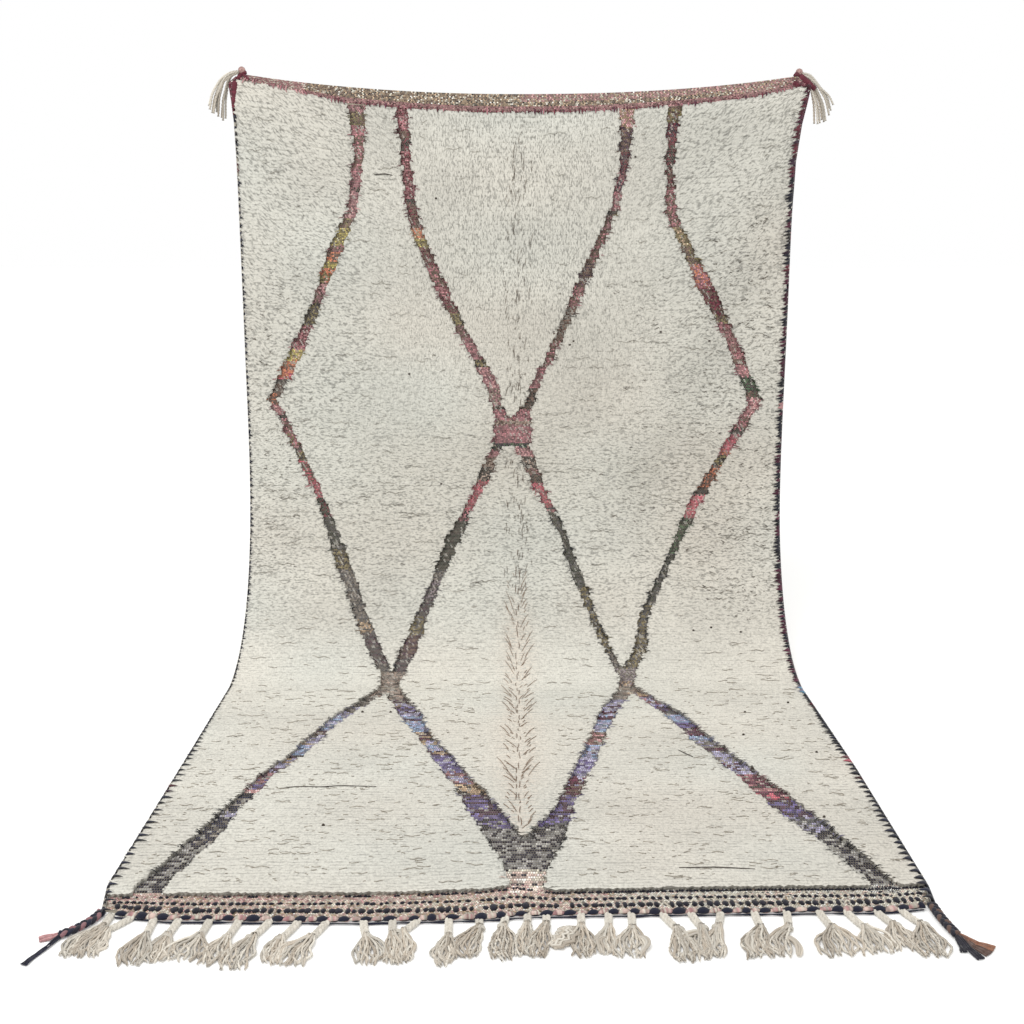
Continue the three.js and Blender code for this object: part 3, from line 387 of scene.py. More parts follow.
# The side cords: half their thickness on the left and right, the pitch of the yarn wound round them, and
# the sections in a turn of it
SIDE = {"half": {-1: 3.0, 1: 3.7}, "wrap": 4.6, "steps": 2}


# Small tools

def read(table, at, column):
    """One column of a table at places along its first column, in straight lines between its rows."""
    rows = np.array(table, float)
    return np.interp(at, rows[:, 0], rows[:, column])


def blend(first, second, share):
    return first + (second - first) * share


def running(steps):
    """Lengths from 0, one step after another."""
    return np.concatenate([[0.0], np.cumsum(steps)])


def grid(rows, columns):
    """Every row with every column, as two flat lists."""
    return (part.ravel() for part in np.meshgrid(rows, columns, indexing="ij"))


def chosen(keep, *lists):
    """The same part of several lists."""
    return tuple(values[keep] for values in lists)


def smooth(value):
    t = np.clip(value, 0.0, 1.0)
    return t * t * (3.0 - 2.0 * t)


def scatter(a, b, seed):
    """Repeatable numbers from 0 to 1 for pairs of whole numbers."""
    mask = 0xFFFFFFFF
    first = np.asarray(a).astype(np.int64) & mask
    second = np.asarray(b).astype(np.int64) & mask
    value = (first * 374761393 + second * 668265263 + seed * 144664543) & mask
    value = ((value ^ (value >> 13)) * 1274126177) & mask
    value = ((value ^ (value >> 15)) * 668265263) & mask
    return (value ^ (value >> 16)) / mask


def chances(k, kind, seed, count):
    return [float(scatter(k, kind, seed + n)) for n in range(count)]


def noise(across, down, cell_across, cell_down, seed):
    """Soft unevenness from -1 to 1 over cells of a given size."""
    a = across / cell_across
    d = down / cell_down
    column = np.floor(a)
    row = np.floor(d)
    part_a = smooth(a - column)
    part_d = smooth(d - row)
    top = scatter(column, row, seed) * (1 - part_a) + scatter(column + 1, row, seed) * part_a
    low = scatter(column, row + 1, seed) * (1 - part_a) + scatter(column + 1, row + 1, seed) * part_a
    return (top * (1 - part_d) + low * part_d) * 2 - 1


def noise_along(across, cell, seed):
    return noise(across, np.zeros(len(across)), cell, cell, seed)


def curve(points, steps):
    """A smooth run through a few places, in even steps along its length."""
    points = np.array(points, float)
    length = running(np.linalg.norm(np.diff(points, axis=0), axis=1))
    at = np.linspace(0.0, length[-1], steps)
    rows = np.stack([np.interp(at, length, points[:, k]) for k in range(points.shape[1])], axis=1)
    for _ in range(max(2, steps // 5)):
        rows[1:-1] = (rows[:-2] + 2 * rows[1:-1] + rows[2:]) / 4
    return rows


def linear(colour):
    """A colour as it looks, 0 to 255, as light."""
    value = np.asarray(colour, float) / 255.0
    return np.where(value <= 0.04045, value / 12.92, ((value + 0.055) / 1.055) ** 2.4)


# The drape

def turn_at(down):
    t = np.clip((down - BEND["start"]) / (BEND["end"] - BEND["start"]), 0.0, 1.0)
    return (math.pi / 2) * t ** BEND["power"] * (1 - BEND["ease"] * (1 - t))


def bend_table():
    """The bend, stepped off along the cloth: down, how far forward and how far down it has come."""
    downs = np.arange(BEND["start"], BEND["end"] + BEND["step"] / 2, BEND["step"])
    turns = turn_at(downs)
    ways = (np.sin(turns), np.cos(turns))
    forward, drop = (running((way[1:] + way[:-1]) / 2 * BEND["step"]) for way in ways)
    return downs, forward, drop + BEND["start"]


BEND_DOWN, BEND_FORWARD, BEND_DROP = bend_table()
FLOOR = -BEND_DROP[-1]


def profile(down):
    forward = np.interp(down, BEND_DOWN, BEND_FORWARD) + np.maximum(down - BEND["end"], 0.0)
    drop = np.where(down < BEND["start"], down, np.interp(down, BEND_DOWN, BEND_DROP))
    return forward, drop


def folds_at(across, down):
    total = np.zeros(np.broadcast(across, down).shape)
    for from_across, from_down, to_across, to_down, wide, high in FOLDS:
        run_across = to_across - from_across
        run_down = to_down - from_down
        a = across - from_across
        d = down - from_down
        along = np.clip((a * run_across + d * run_down) / (run_across ** 2 + run_down ** 2), 0.0, 1.0)
        away = np.hypot(a - run_across * along, d - run_down * along) / wide
        total = total + high * np.exp(-away * away)
    return total * (1 - smooth((down - FOLDS_END["from"]) / (FOLDS_END["to"] - FOLDS_END["from"])))


def place(across, down, out):
    """Points of the rug in metres, the last axis x, y and z."""
    across, down, out = np.broadcast_arrays(*(np.asarray(value, float) for value in (across, down, out)))
    share = np.abs(across) / HALF_WIDTH
    reach = np.where(across < 0, read(SIDES, down, 1), read(SIDES, down, 2))
    fade = np.clip(1 - down / SAG["fades_at"], 0.0, 1.0) ** SAG["fade"]
    rise = np.where(
        across < 0,
        SAG["left"] * share ** SAG["left_power"],
        SAG["right"] * share ** SAG["right_power"],
    )
    forward, drop = profile(down)
    turn = turn_at(down)
    lift = out + folds_at(across, down)
    x = across + np.sign(across) * reach * np.minimum(1.0, share) ** SIDE_REACH_POWER
    y = -forward - lift * np.cos(turn)
    z = -drop + rise * fade + lift * np.sin(turn)
    return np.stack([x, y, z], axis=-1) * MM


def floor_place(across, down, out):
    """Points on the floor in front of the bend, by the same lengths."""
    across, down, out = np.broadcast_arrays(*(np.asarray(value, float) for value in (across, down, out)))
    forward, _ = profile(down)
    return np.stack([across, -forward, FLOOR + out], axis=-1) * MM


def bowed(row, across):
    """The weft rows bow a little: the header is shallow at its ends, and the foot runs askew."""
    deep = read(HEADER_DEPTH, across, 1)
    top = read(FOOT, across, 1)
    end = read(FOOT, across, 2)
    header_part = 1 - smooth((row - HEADER) / BOW_FADES["header"])
    foot_part = smooth((row - FOOT_TOP + BOW_FADES["foot"]) / BOW_FADES["foot"])
    middle = row + (deep - HEADER) * header_part + (top - FOOT_TOP) * foot_part
    foot = top + (end - top) * (row - FOOT_TOP) / (FOOT_END - FOOT_TOP)
    return np.where(row <= HEADER, row * deep / HEADER, np.where(row >= FOOT_TOP, foot, middle))


def sight_slope(down):
    """How far down the cloth the eye's line runs for each millimetre that it comes in through the pile."""
    forward, drop = profile(down)
    turn = turn_at(down)
    to_y = -forward - EYE[1] / MM
    to_z = -drop - EYE[2] / MM
    along = to_y * -np.sin(turn) + to_z * -np.cos(turn)
    inward = to_y * np.cos(turn) - to_z * np.sin(turn)
    return -along / inward


# Meshes

UP = (0, 0, 1)
FORWARD = (0, -1, 0)


class Shape:
    """Points, faces and tints gathered for one piece."""

    def __init__(self):
        self.points = []
        self.tints = []
        self.faces = []
        self.count = 0

    def add(self, points, faces, tints):
        """Points (n, 3), a list of face tables (m, corners), and a tint for each point."""
        tints = np.broadcast_to(np.asarray(tints, float), points.shape).reshape(-1, 3)
        points = points.reshape(-1, 3)
        if volume(points, faces) < 0:
            faces = [table[:, ::-1] for table in faces]
        self.points.append(points)
        self.tints.append(tints)
        self.faces.extend(table + self.count for table in faces)
        self.count += len(points)

    def build(self, name, material, slot, replaces=(), rounded=True):
        mesh = bpy.data.meshes.new(name)
        points = np.concatenate(self.points)
        sizes = np.concatenate([np.full(len(table), table.shape[1]) for table in self.faces])
        corners = np.concatenate([table.ravel() for table in self.faces])
        starts = np.concatenate([[0], np.cumsum(sizes)[:-1]])
        mesh.vertices.add(len(points))
        mesh.vertices.foreach_set("co", points.astype(np.float32).ravel())
        mesh.loops.add(len(corners))
        mesh.loops.foreach_set("vertex_index", corners.astype(np.int32))
        mesh.polygons.add(len(sizes))
        mesh.polygons.foreach_set("loop_start", starts.astype(np.int32))
        mesh.polygons.foreach_set("use_smooth", np.full(len(sizes), rounded))
        mesh.update(calc_edges=True)
        tint = mesh.color_attributes.new("tint", "FLOAT_COLOR", "POINT")
        rgba = np.ones((len(points), 4), np.float32)
        rgba[:, :3] = np.clip(np.concatenate(self.tints), 0.0, 1.0)
        tint.data.foreach_set("color", rgba.ravel())
        mesh.materials.append(material)
        piece = bpy.data.objects.new(name, mesh)
        bpy.context.scene.collection.objects.link(piece)
        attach(piece, BODY)
        if replaces:
            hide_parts(*replaces)
        return piece


def volume(points, faces):
    total = 0.0
    for table in faces:
        first = points[table[:, 0]]
        for k in range(1, table.shape[1] - 1):
            cross = np.cross(points[table[:, k]], points[table[:, k + 1]])
            total += float(np.sum(first * cross))
    return total


def repeated(template, count, stride):
    """The faces of one small form, for many copies whose points follow each other."""
    base = (np.arange(count) * stride)[:, None, None]
    return (np.array(template)[None, :, :] + base).reshape(-1, len(template[0]))


def tube_faces(steps, sides):
    """The faces of a closed tube of rings: its quads, and its two ends."""
    quads = []
    for k in range(steps - 1):
        for side in range(sides):
            following = (side + 1) % sides
            a = k * sides + side
            b = k * sides + following
            quads.append((a, a + sides, b + sides, b))
    last = (steps - 1) * sides
    ends = [tuple(range(sides)), tuple(last + side for side in reversed(range(sides)))]
    return quads, ends


def add_tubes(shape, rings, tints):
    """Closed tubes, from rings as (tubes, steps, sides, 3), and tints that broadcast to them."""
    tubes, steps, sides, _ = rings.shape
    quads, ends = tube_faces(steps, sides)
    stride = steps * sides
    faces = [repeated(quads, tubes, stride), repeated(ends, tubes, stride)]
    tints = np.broadcast_to(tints, rings.shape)
    shape.add(rings.reshape(-1, 3), faces, tints.reshape(-1, 3))


def unit(vectors):
    return vectors / np.maximum(np.linalg.norm(vectors, axis=-1, keepdims=True), 1e-12)


def ringed(middles, up, wide, high, sides, turns=0.0):
    """Rings round middle lines (tubes, steps, 3) in metres; wide and high are half sizes in millimetres."""
    ahead = unit(np.gradient(middles, axis=1))
    sideways = unit(np.cross(ahead, np.asarray(up, float)))
    above = np.cross(sideways, ahead)
    angle = 2 * math.pi * (np.arange(sides) + 0.5) / sides
    spin = np.broadcast_to(np.asarray(turns, float), middles.shape[:2])[..., None]
    wide = np.broadcast_to(np.asarray(wide, float), middles.shape[:2])[..., None] * MM
    high = np.broadcast_to(np.asarray(high, float), middles.shape[:2])[..., None] * MM
    a = wide * np.cos(angle)
    b = high * np.sin(angle)
    turned_a = a * np.cos(spin) - b * np.sin(spin)
    turned_b = a * np.sin(spin) + b * np.cos(spin)
    return (
        middles[:, :, None, :]
        + turned_a[..., None] * sideways[:, :, None, :]
        + turned_b[..., None] * above[:, :, None, :]
    )


def section(across, down, out, wide, high, sides, reach=(0.0, 1.0), turned=0.5):
    """Points round one section of a yarn on the cloth, of half a width and height in millimetres."""
    ring = []
    for angle in 2 * math.pi * (np.arange(sides) + turned) / sides:
        offset = wide * np.cos(angle)
        ring.append(place(across + reach[0] * offset, down + reach[1] * offset, out + high * np.sin(angle)))
    return np.stack(ring, axis=1)


def add_loop(shape, points, middle, axis, thick, sides, tint, scale=1.0):
    """A yarn laid round in a closed loop of points about a middle and an axis."""
    outward = unit(points - middle)
    angle = 2 * math.pi * np.arange(sides) / sides
    rings = points[:, None, :] + thick * (
        np.cos(angle)[None, :, None] * outward[:, None, :]
        + np.sin(angle)[None, :, None] * axis[None, None, :]
    )
    a = np.arange(len(points) * sides).reshape(len(points), sides)
    b = np.roll(a, -1, axis=0)
    faces = np.stack([a, b, np.roll(b, -1, axis=1), np.roll(a, -1, axis=1)], axis=-1).reshape(-1, 4)
    shape.add((rings * scale).reshape(-1, 3), [faces], tint)


# Materials

def feed(tree, made, sockets):
    """Sets a node's sockets to values or links them to other nodes' outputs."""
    for name, value in sockets.items():
        if isinstance(value, bpy.types.NodeSocket):
            tree.links.new(value, made.inputs[name])
        else:
            made.inputs[name].default_value = value


def node(tree, kind, sockets, output=0, operation=None):
    """One output of a new shader node."""
    made = tree.nodes.new("ShaderNode" + kind)
    if operation:
        made.operation = operation
    feed(tree, made, sockets)
    return made.outputs[output]


def plain(name):
    """A new material, with its nodes and its shader."""
    material = bpy.data.materials.new(name)
    material.use_nodes = True
    return material, material.node_tree, material.node_tree.nodes["Principled BSDF"]


def ranged(tree, value, low, high, to_low, to_high):
    sockets = {"Value": value, "From Min": low, "From Max": high, "To Min": to_low, "To Max": to_high}
    return node(tree, "MapRange", sockets, "Result")


def wool(name, roughness, grain, bump, sheen, mottle, stretch=(1.0, 1.0, 1.0)):
    """Wool whose colour is the piece's tint, with fibres of a given size in millimetres."""
    material, tree, shader = plain(name)
    here = node(tree, "TexCoord", {}, "Object")
    longer = node(tree, "VectorMath", {0: here, 1: stretch}, operation="MULTIPLY")
    scale = 1.0 / (grain * MM)
    fibre = node(tree, "TexNoise", {"Vector": longer, "Scale": scale, "Detail": WOOL["detail"]}, "Fac")
    light = ranged(tree, fibre, WOOL["low"], WOOL["high"], 1.0 - mottle, 1.0 + mottle)
    tint = tree.nodes.new("ShaderNodeAttribute")
    tint.attribute_name = "tint"
    mottled = node(tree, "VectorMath", {0: tint.outputs["Color"], "Scale": light}, operation="SCALE")
    raised = node(tree, "Bump", {"Strength": bump, "Distance": grain * MM, "Height": fibre}, "Normal")
    feed(tree, shader, {
        "Base Color": mottled, "Roughness": roughness, "Specular IOR Level": WOOL["shine"],
        "Sheen Weight": sheen, "Sheen Roughness": WOOL["sheen_rough"], "Normal": raised,
    })
    return material


def fleck_shade(tree, vector, kind):
    """1 on the wool and darker in painted shade, in flecks of one kind."""
    cells = [1 / (kind[length] * MM) for length in ("across", "away", "down")]
    spread = node(tree, "VectorMath", {0: vector, 1: cells}, operation="MULTIPLY")
    fleck = node(tree, "TexNoise", {"Vector": spread, "Scale": 1.0, "Detail": FLECK_DETAIL}, "Fac")
    return ranged(tree, fleck, kind["from"], kind["to"], kind["dark"], 1.0)


def add_shade_flecks(material):
    """Short dark flecks of painted shade between the locks of the pile, wandering a little."""
    tree = material.node_tree
    here = node(tree, "TexCoord", {}, "Object")
    cell = 1.0 / (FLECK_DRIFT["cell"] * MM)
    most = FLECK_DRIFT["most"] * MM
    wander = node(tree, "TexNoise", {"Vector": here, "Scale": cell, "Detail": 1.0}, "Color")
    drift = node(tree, "VectorMath", {0: wander, 1: (0.0, most, most), 2: here}, operation="MULTIPLY_ADD")
    x, y, z = (node(tree, "SeparateXYZ", {"Vector": here}, axis) for axis in "XYZ")
    aside = node(tree, "Math", {0: x, 1: 0.0}, operation="ABSOLUTE")

    # Towards the upper corners the flecks slant down to the middle
    slant = ranged(tree, z, -FLECKS_SLANT["ends"] * MM, 0.0, 0.0, FLECKS_SLANT["most"])
    fall = node(tree, "CombineXYZ", {"Z": node(tree, "Math", {0: aside, 1: slant}, operation="MULTIPLY")})
    slanted = node(tree, "VectorMath", {0: drift, 1: fall}, operation="SUBTRACT")
    upright = fleck_shade(tree, slanted, LYING_SHADE_FLECKS)
    on_floor = fleck_shade(tree, drift, FLOOR_SHADE_FLECKS)
    hanging = fleck_shade(tree, here, HANGING_SHADE_FLECKS)

    # On the floor they turn finer and paler, and near the top's middle they hang
    on_back = ranged(tree, y, FLECKS_FLOOR["full"] * MM, FLECKS_FLOOR["from"] * MM, 1.0, 0.0)
    lying = node(tree, "Mix", {"Factor": on_back, "A": upright, "B": on_floor}, "Result")
    near = FLECKS_HANG["across"] * MM
    far = (FLECKS_HANG["across"] + FLECKS_HANG["fades"]) * MM
    to_side = ranged(tree, aside, near, far, 0.0, 1.0)
    low = ranged(tree, z, -FLECKS_HANG["down"] * MM, -FLECKS_HANG["ends"] * MM, 0.0, 1.0)
    lies = node(tree, "Math", {0: to_side, 1: low}, operation="MAXIMUM")
    shade = node(tree, "Mix", {"Factor": lies, "A": hanging, "B": lying}, "Result")
    colour = tree.nodes["Principled BSDF"].inputs["Base Color"]
    wool_tint = colour.links[0].from_socket
    tree.links.new(node(tree, "VectorMath", {0: wool_tint, "Scale": shade}, operation="SCALE"), colour)
    return material


PILE_WOOL = add_shade_flecks(wool("pile_wool", 0.95, 3.0, 0.22, 0.1, 0.08, (1.0, 0.6, 0.6)))
WOVEN_WOOL = wool("woven_wool", 0.92, 1.2, 0.6, 0.1, 0.14)
CLOTH_WOOL = wool("ground_wool", 0.95, 2.0, 0.5, 0.05, 0.1)
WARP_WOOL = wool("warp_wool", 0.9, 1.1, 0.5, 0.12, 0.1)
DARK_WOOL = wool("dark_wool", 0.9, 1.2, 0.6, 0.15, 0.2)


# The lattice

def line_edges(line, down, grow, seed):
    row = np.floor(down / WEFT)
    middle = read(line, down, 1)
    half = read(line, down, 2) / 2
    step_row = np.floor(row / EDGE["rows"])
    edges = []
    for side in (0, 1):
        step = (scatter(step_row, seed * 2 + side, 5) - 0.5) * 2 * EDGE["step"]
        jitter = (scatter(row, seed * 2 + side, 6) - 0.5) * 2 * EDGE["jitter"]
        edges.append(half + step + jitter + grow)
    return middle - edges[0], middle + edges[1]


def lattice(across, down, grow=0.0):
    """The number of the line that covers each place, from 1, or 0 where there is pile."""
    found = np.zeros(np.broadcast(across, down).shape, int)
    for k, (line, _) in enumerate(LINES):
        left, right = line_edges(line, down, grow, k)
        inside = (across > left) & (across < right) & (found == 0)
        found = np.where(inside, k + 1, found)
    return found


def yarn_tints(runs, down, row, column, seed, light_all=YARN_LIGHT, ticks=WARP_TICKS):
    """The tint of each stitch, from the runs of yarn down a line."""
    kind = UNEVEN_YARN
    starts = np.array([run[0] for run in runs])
    at = down + (scatter(row, column, seed + 21) - 0.5) * WEFT
    index = np.clip(np.searchsorted(starts, at, side="right") - 1, 0, None)
    main, other = (np.array([linear(YARN[run[k]]) for run in runs])[index] for k in (1, 2))
    share = np.array([run[3] if len(run) > 3 else MIXED_SHARE for run in runs])[index]
    share = np.where(scatter(row, seed, 22) < kind["streaks"], kind["streak_share"], share)
    grain = np.where(down > FLOOR_FROM, column // 2, column)
    picked = scatter(row, grain, seed + 23) < share
    light = kind["darkest"] + scatter(row, grain, seed + 24)
    clump = scatter(row, column // kind["clump"], seed + 25)
    light = light * (kind["clump_darkest"] + kind["clump_range"] * clump)
    tints = np.where(picked[:, None], other, main) * light[:, None] * light_all
    pale = kind["own"] * tints + kind["warp"] * linear(YARN["chalk"])
    return np.where((scatter(row // 2, grain, seed + 26) < ticks)[:, None], pale, tints)


# A stitch: how dark its corners and its middle are, painted shade in the corners where it meets the next
# stitches and painted light on its raised middle; how speckled it is, how far it overlaps the next ones and
# how deep it is set in the cloth
STITCH_PAINTED_LIGHT_AND_SHADE = np.array([0.7, 0.7, 0.7, 0.7, 1.12])
SPECKLE = 0.45
OVERLAP = {"wide": 1.12, "tall": 1.15, "deep": 0.4}
STITCH_CORNERS = ((-0.5, -0.5), (0.5, -0.5), (0.5, 0.5), (-0.5, 0.5))


def add_stitches(shape, across, down, wide, tall, high, tints):
    """A closed grain of yarn for each stitch: four corners, a raised middle and a flat underside."""
    wide = wide * OVERLAP["wide"]
    tall = tall * OVERLAP["tall"]
    points = [place(across + wide * a, down + tall * d, CLOTH - OVERLAP["deep"]) for a, d in STITCH_CORNERS]
    points.append(place(across, down, high))
    count = len(across)
    corner, stitch = np.meshgrid(np.arange(5), np.arange(count))
    speckle = 1 + SPECKLE * 2 * (scatter(stitch, corner, 35) - 0.5)
    # Painted shade at each stitch's corners and painted light on its raised middle, times a random speckle
    tints = tints[:, None, :] * (STITCH_PAINTED_LIGHT_AND_SHADE[None, :] * speckle)[..., None]
    sides = ((0, 1, 4), (1, 2, 4), (2, 3, 4), (3, 0, 4))
    faces = [repeated(sides, count, 5), repeated(((3, 2, 1, 0),), count, 5)]
    shape.add(np.stack(points, axis=1), faces, tints)


def seen_line(across, down, grow=0.0):
    """The number of the line that the eye sees here, through the depth of the pile beside it, or 0."""
    found = lattice(across, down, grow)
    slope = sight_slope(down)
    for share in SIGHT_SHARES:
        deeper = lattice(across, down + share * (PILE["top"] - CLOTH) * slope, grow)
        found = np.where(found > 0, found, deeper)
    return found


# The lattice's stitches: how far they run on below and beside the pile's edge, where they end at the
# sides, and how high they stand
LATTICE_STITCH = {"sunk": 1.5, "under": 3.0, "rim": 4, "high": 1.3, "uneven": 0.7}


def lattice_weave():
    kind = LATTICE_STITCH
    rows = np.arange(math.ceil(HEADER / WEFT) - 1, math.floor(FOOT_TOP / WEFT))
    columns = np.arange(-math.ceil(HALF_WIDTH / STITCH), math.ceil(HALF_WIDTH / STITCH) + 1)
    row, column = grid(rows, columns)
    across = (column + 0.5 * (row % 2)) * STITCH

    # On the floor two weft rows are woven as one
    lies = row * WEFT > FLOOR_FROM
    keep = ~lies | (row % 2 == 0)
    row, column, across, lies = chosen(keep, row, column, across, lies)
    across = across + lies * 0.5 * ((row // 2) % 2) * STITCH
    down = (row + 0.5 + 0.5 * lies) * WEFT
    seen = down + (PILE["top"] - CLOTH - kind["sunk"]) * sight_slope(down)
    line = lattice(across, seen, kind["under"])
    line = np.where(line > 0, line, seen_line(across, down, kind["under"]))
    keep = (line > 0) & (np.abs(across) < HALF_WIDTH - kind["rim"])
    row, column, across, down, line, seen, lies = chosen(
        keep, row, column, across, down, line, seen, lies,
    )
    tints = np.zeros((len(row), 3))
    for k, (_, runs) in enumerate(LINES):
        mine = line == k + 1
        tints[mine] = yarn_tints(runs, seen[mine], row[mine], column[mine], 40 + 7 * k)
    shape = Shape()
    high = CLOTH + kind["high"] + kind["uneven"] * scatter(row, column, 31)
    add_stitches(shape, across, down, STITCH, WEFT * (1 + lies), high, tints)
    return shape.build("lattice_weave", WOVEN_WOOL, "weave")


# The pile

TUFT_SIDES = ((0, 1, 4, 3), (1, 2, 5, 4), (2, 0, 3, 5))
TUFT_TIP = ((3, 4, 6), (4, 5, 6), (5, 3, 6), (2, 1, 0))
# Painted shade: a tuft's root points darker than its belly, and its crown and tip lightest
TUFT_PAINTED_SHADE = np.array([0.88, 0.88, 0.88, 0.98, 0.98, 1.0, 1.0])


def floor_part(down):
    return smooth((down - TURNS_TO_FLOOR["from"]) / TURNS_TO_FLOOR["over"])


def by_part(kind, name, down):
    """One of the pile's measures, which turns into another on the floor."""
    return blend(kind[name], kind["floor_" + name], floor_part(down))


def pile_tufts():
    """Roots of the tufts in wavy rows, with their row and column."""
    levels = [HEADER + 4.0]
    while levels[-1] < FOOT_TOP - 8.0:
        levels.append(levels[-1] + by_part(PILE, "row", levels[-1]))
    levels = np.array(levels)
    reach = math.floor((HALF_WIDTH + PILE["over_left"]) / PILE["pitch"])
    row, column = grid(np.arange(len(levels)), np.arange(-reach, reach + 1))
    level = levels[row]
    pitch = by_part(PILE, "pitch", level)
    across = (column + 0.5 * (row % 2)) * pitch
    across = across + (scatter(row, column, 51) - 0.5) * pitch * 0.55
    level = level + WAVE["most"] * noise(across, level, WAVE["across"], WAVE["down"], 52)
    level = level + (scatter(row, column, 53) - 0.5) * PILE["row"] * 0.5
    down = np.minimum(bowed(level, across), bowed(FOOT_TOP - 4.0, across))
    inside = (across > -HALF_WIDTH - by_part(PILE, "over_left", down))
    inside &= across < HALF_WIDTH - PILE["short_right"]
    return chosen(inside, row, column, across, down)


def hanging_part(across, down):
    """1 near the middle of the top, where the locks hang straight, and 0 where they lie over each other."""
    aside = smooth((np.abs(across) - FLECKS_HANG["across"]) / FLECKS_HANG["fades"])
    low = smooth((down - FLECKS_HANG["down"]) / (FLECKS_HANG["ends"] - FLECKS_HANG["down"]))
    return 1.0 - np.maximum(aside, low)


def bank_top(down):
    return by_part(BANK, "top", down)


def line_gaps(down, grow):
    """The stretches across that the lines take at one level, as (left, right), from left to right."""
    slope = float(sight_slope(down))
    gaps = []
    for k, (line, _) in enumerate(LINES):
        levels = down + np.array((0.0,) + SIGHT_SHARES) * (PILE["top"] - CLOTH) * slope
        left, right = line_edges(line, levels, grow, k)
        gaps.append((float(left.min()), float(right.max())))
    gaps.sort()
    merged = [gaps[0]]
    for left, right in gaps[1:]:
        if left < merged[-1][1] + 12.0:
            merged[-1] = (merged[-1][0], max(right, merged[-1][1]))
        else:
            merged.append((left, right))
    return merged


def bank():
    """The matted wool between the tufts: strips that end in steps along the lines."""
    shape = Shape()
    tall = BANK["rows"] * WEFT
    first = math.ceil((HEADER + 2) / tall)
    last = math.ceil((FOOT_TOP - 3) / tall)
    for k in range(first, last):
        level = (k + 0.5) * tall
        short = max(0.0, (k + 1) * tall - FOOT_TOP + 3.0)
        gaps = line_gaps(level, 0.6)
        starts = [-HALF_WIDTH + 3] + [right for _, right in gaps]
        stops = [left for left, _ in gaps] + [HALF_WIDTH - 3]
        for start, stop in zip(starts, stops):
            if stop - start < 8.0:
                continue
            across = np.linspace(start, stop, max(2, math.ceil((stop - start) / BANK["segment"]) + 1))
            upper = bowed(level - tall / 2, across)
            lower = bowed(level + tall / 2 - short, across)
            middle = (upper + lower) / 2
            root, top = PILE["root"], bank_top(middle)
            rim = ((upper, root), (upper, top), (lower, top), (lower, root))
            ring = [place(across, down, out) for down, out in rim]
            tint = pile_tints(np.full(across.shape, k), np.arange(len(across)), across, middle, 0.0)
            # Painted shade: the strips a little darker than the tufts, and darker still along their root
            # edges
            tints = np.repeat(tint[None, :, None, :], 4, axis=2) * BANK["tint"]
            tints[:, :, [0, 3]] *= BANK["painted_root_shade"]
            add_tubes(shape, np.stack(ring, axis=1)[None], tints)
    return shape.build("pile_bank", PILE_WOOL, "pile")


def combed(across, seen, row):
    """Tufts beside a line stand close along its edge: where each goes, its room, and which are left."""
    kept = np.ones(across.shape, bool)
    room = np.full(across.shape, 99.0)
    for k, (line, _) in enumerate(LINES):
        left, right = line_edges(line, seen, 0.0, k)
        outside = np.maximum(left - across, across - right)
        beside = (outside > BRINK["inner"]) & (outside < BRINK["outer"])
        to_left = left - across > across - right
        stand = BRINK["stand"] + 1.6 * (scatter(row, k, 77) - 0.5)
        across = np.where(beside, np.where(to_left, left - stand, right + stand), across)
        room = np.minimum(room, np.where(beside, stand, outside))
        kept &= outside > BRINK["inner"]
    return across, room, kept & (lattice(across, seen, 1.5) == 0)


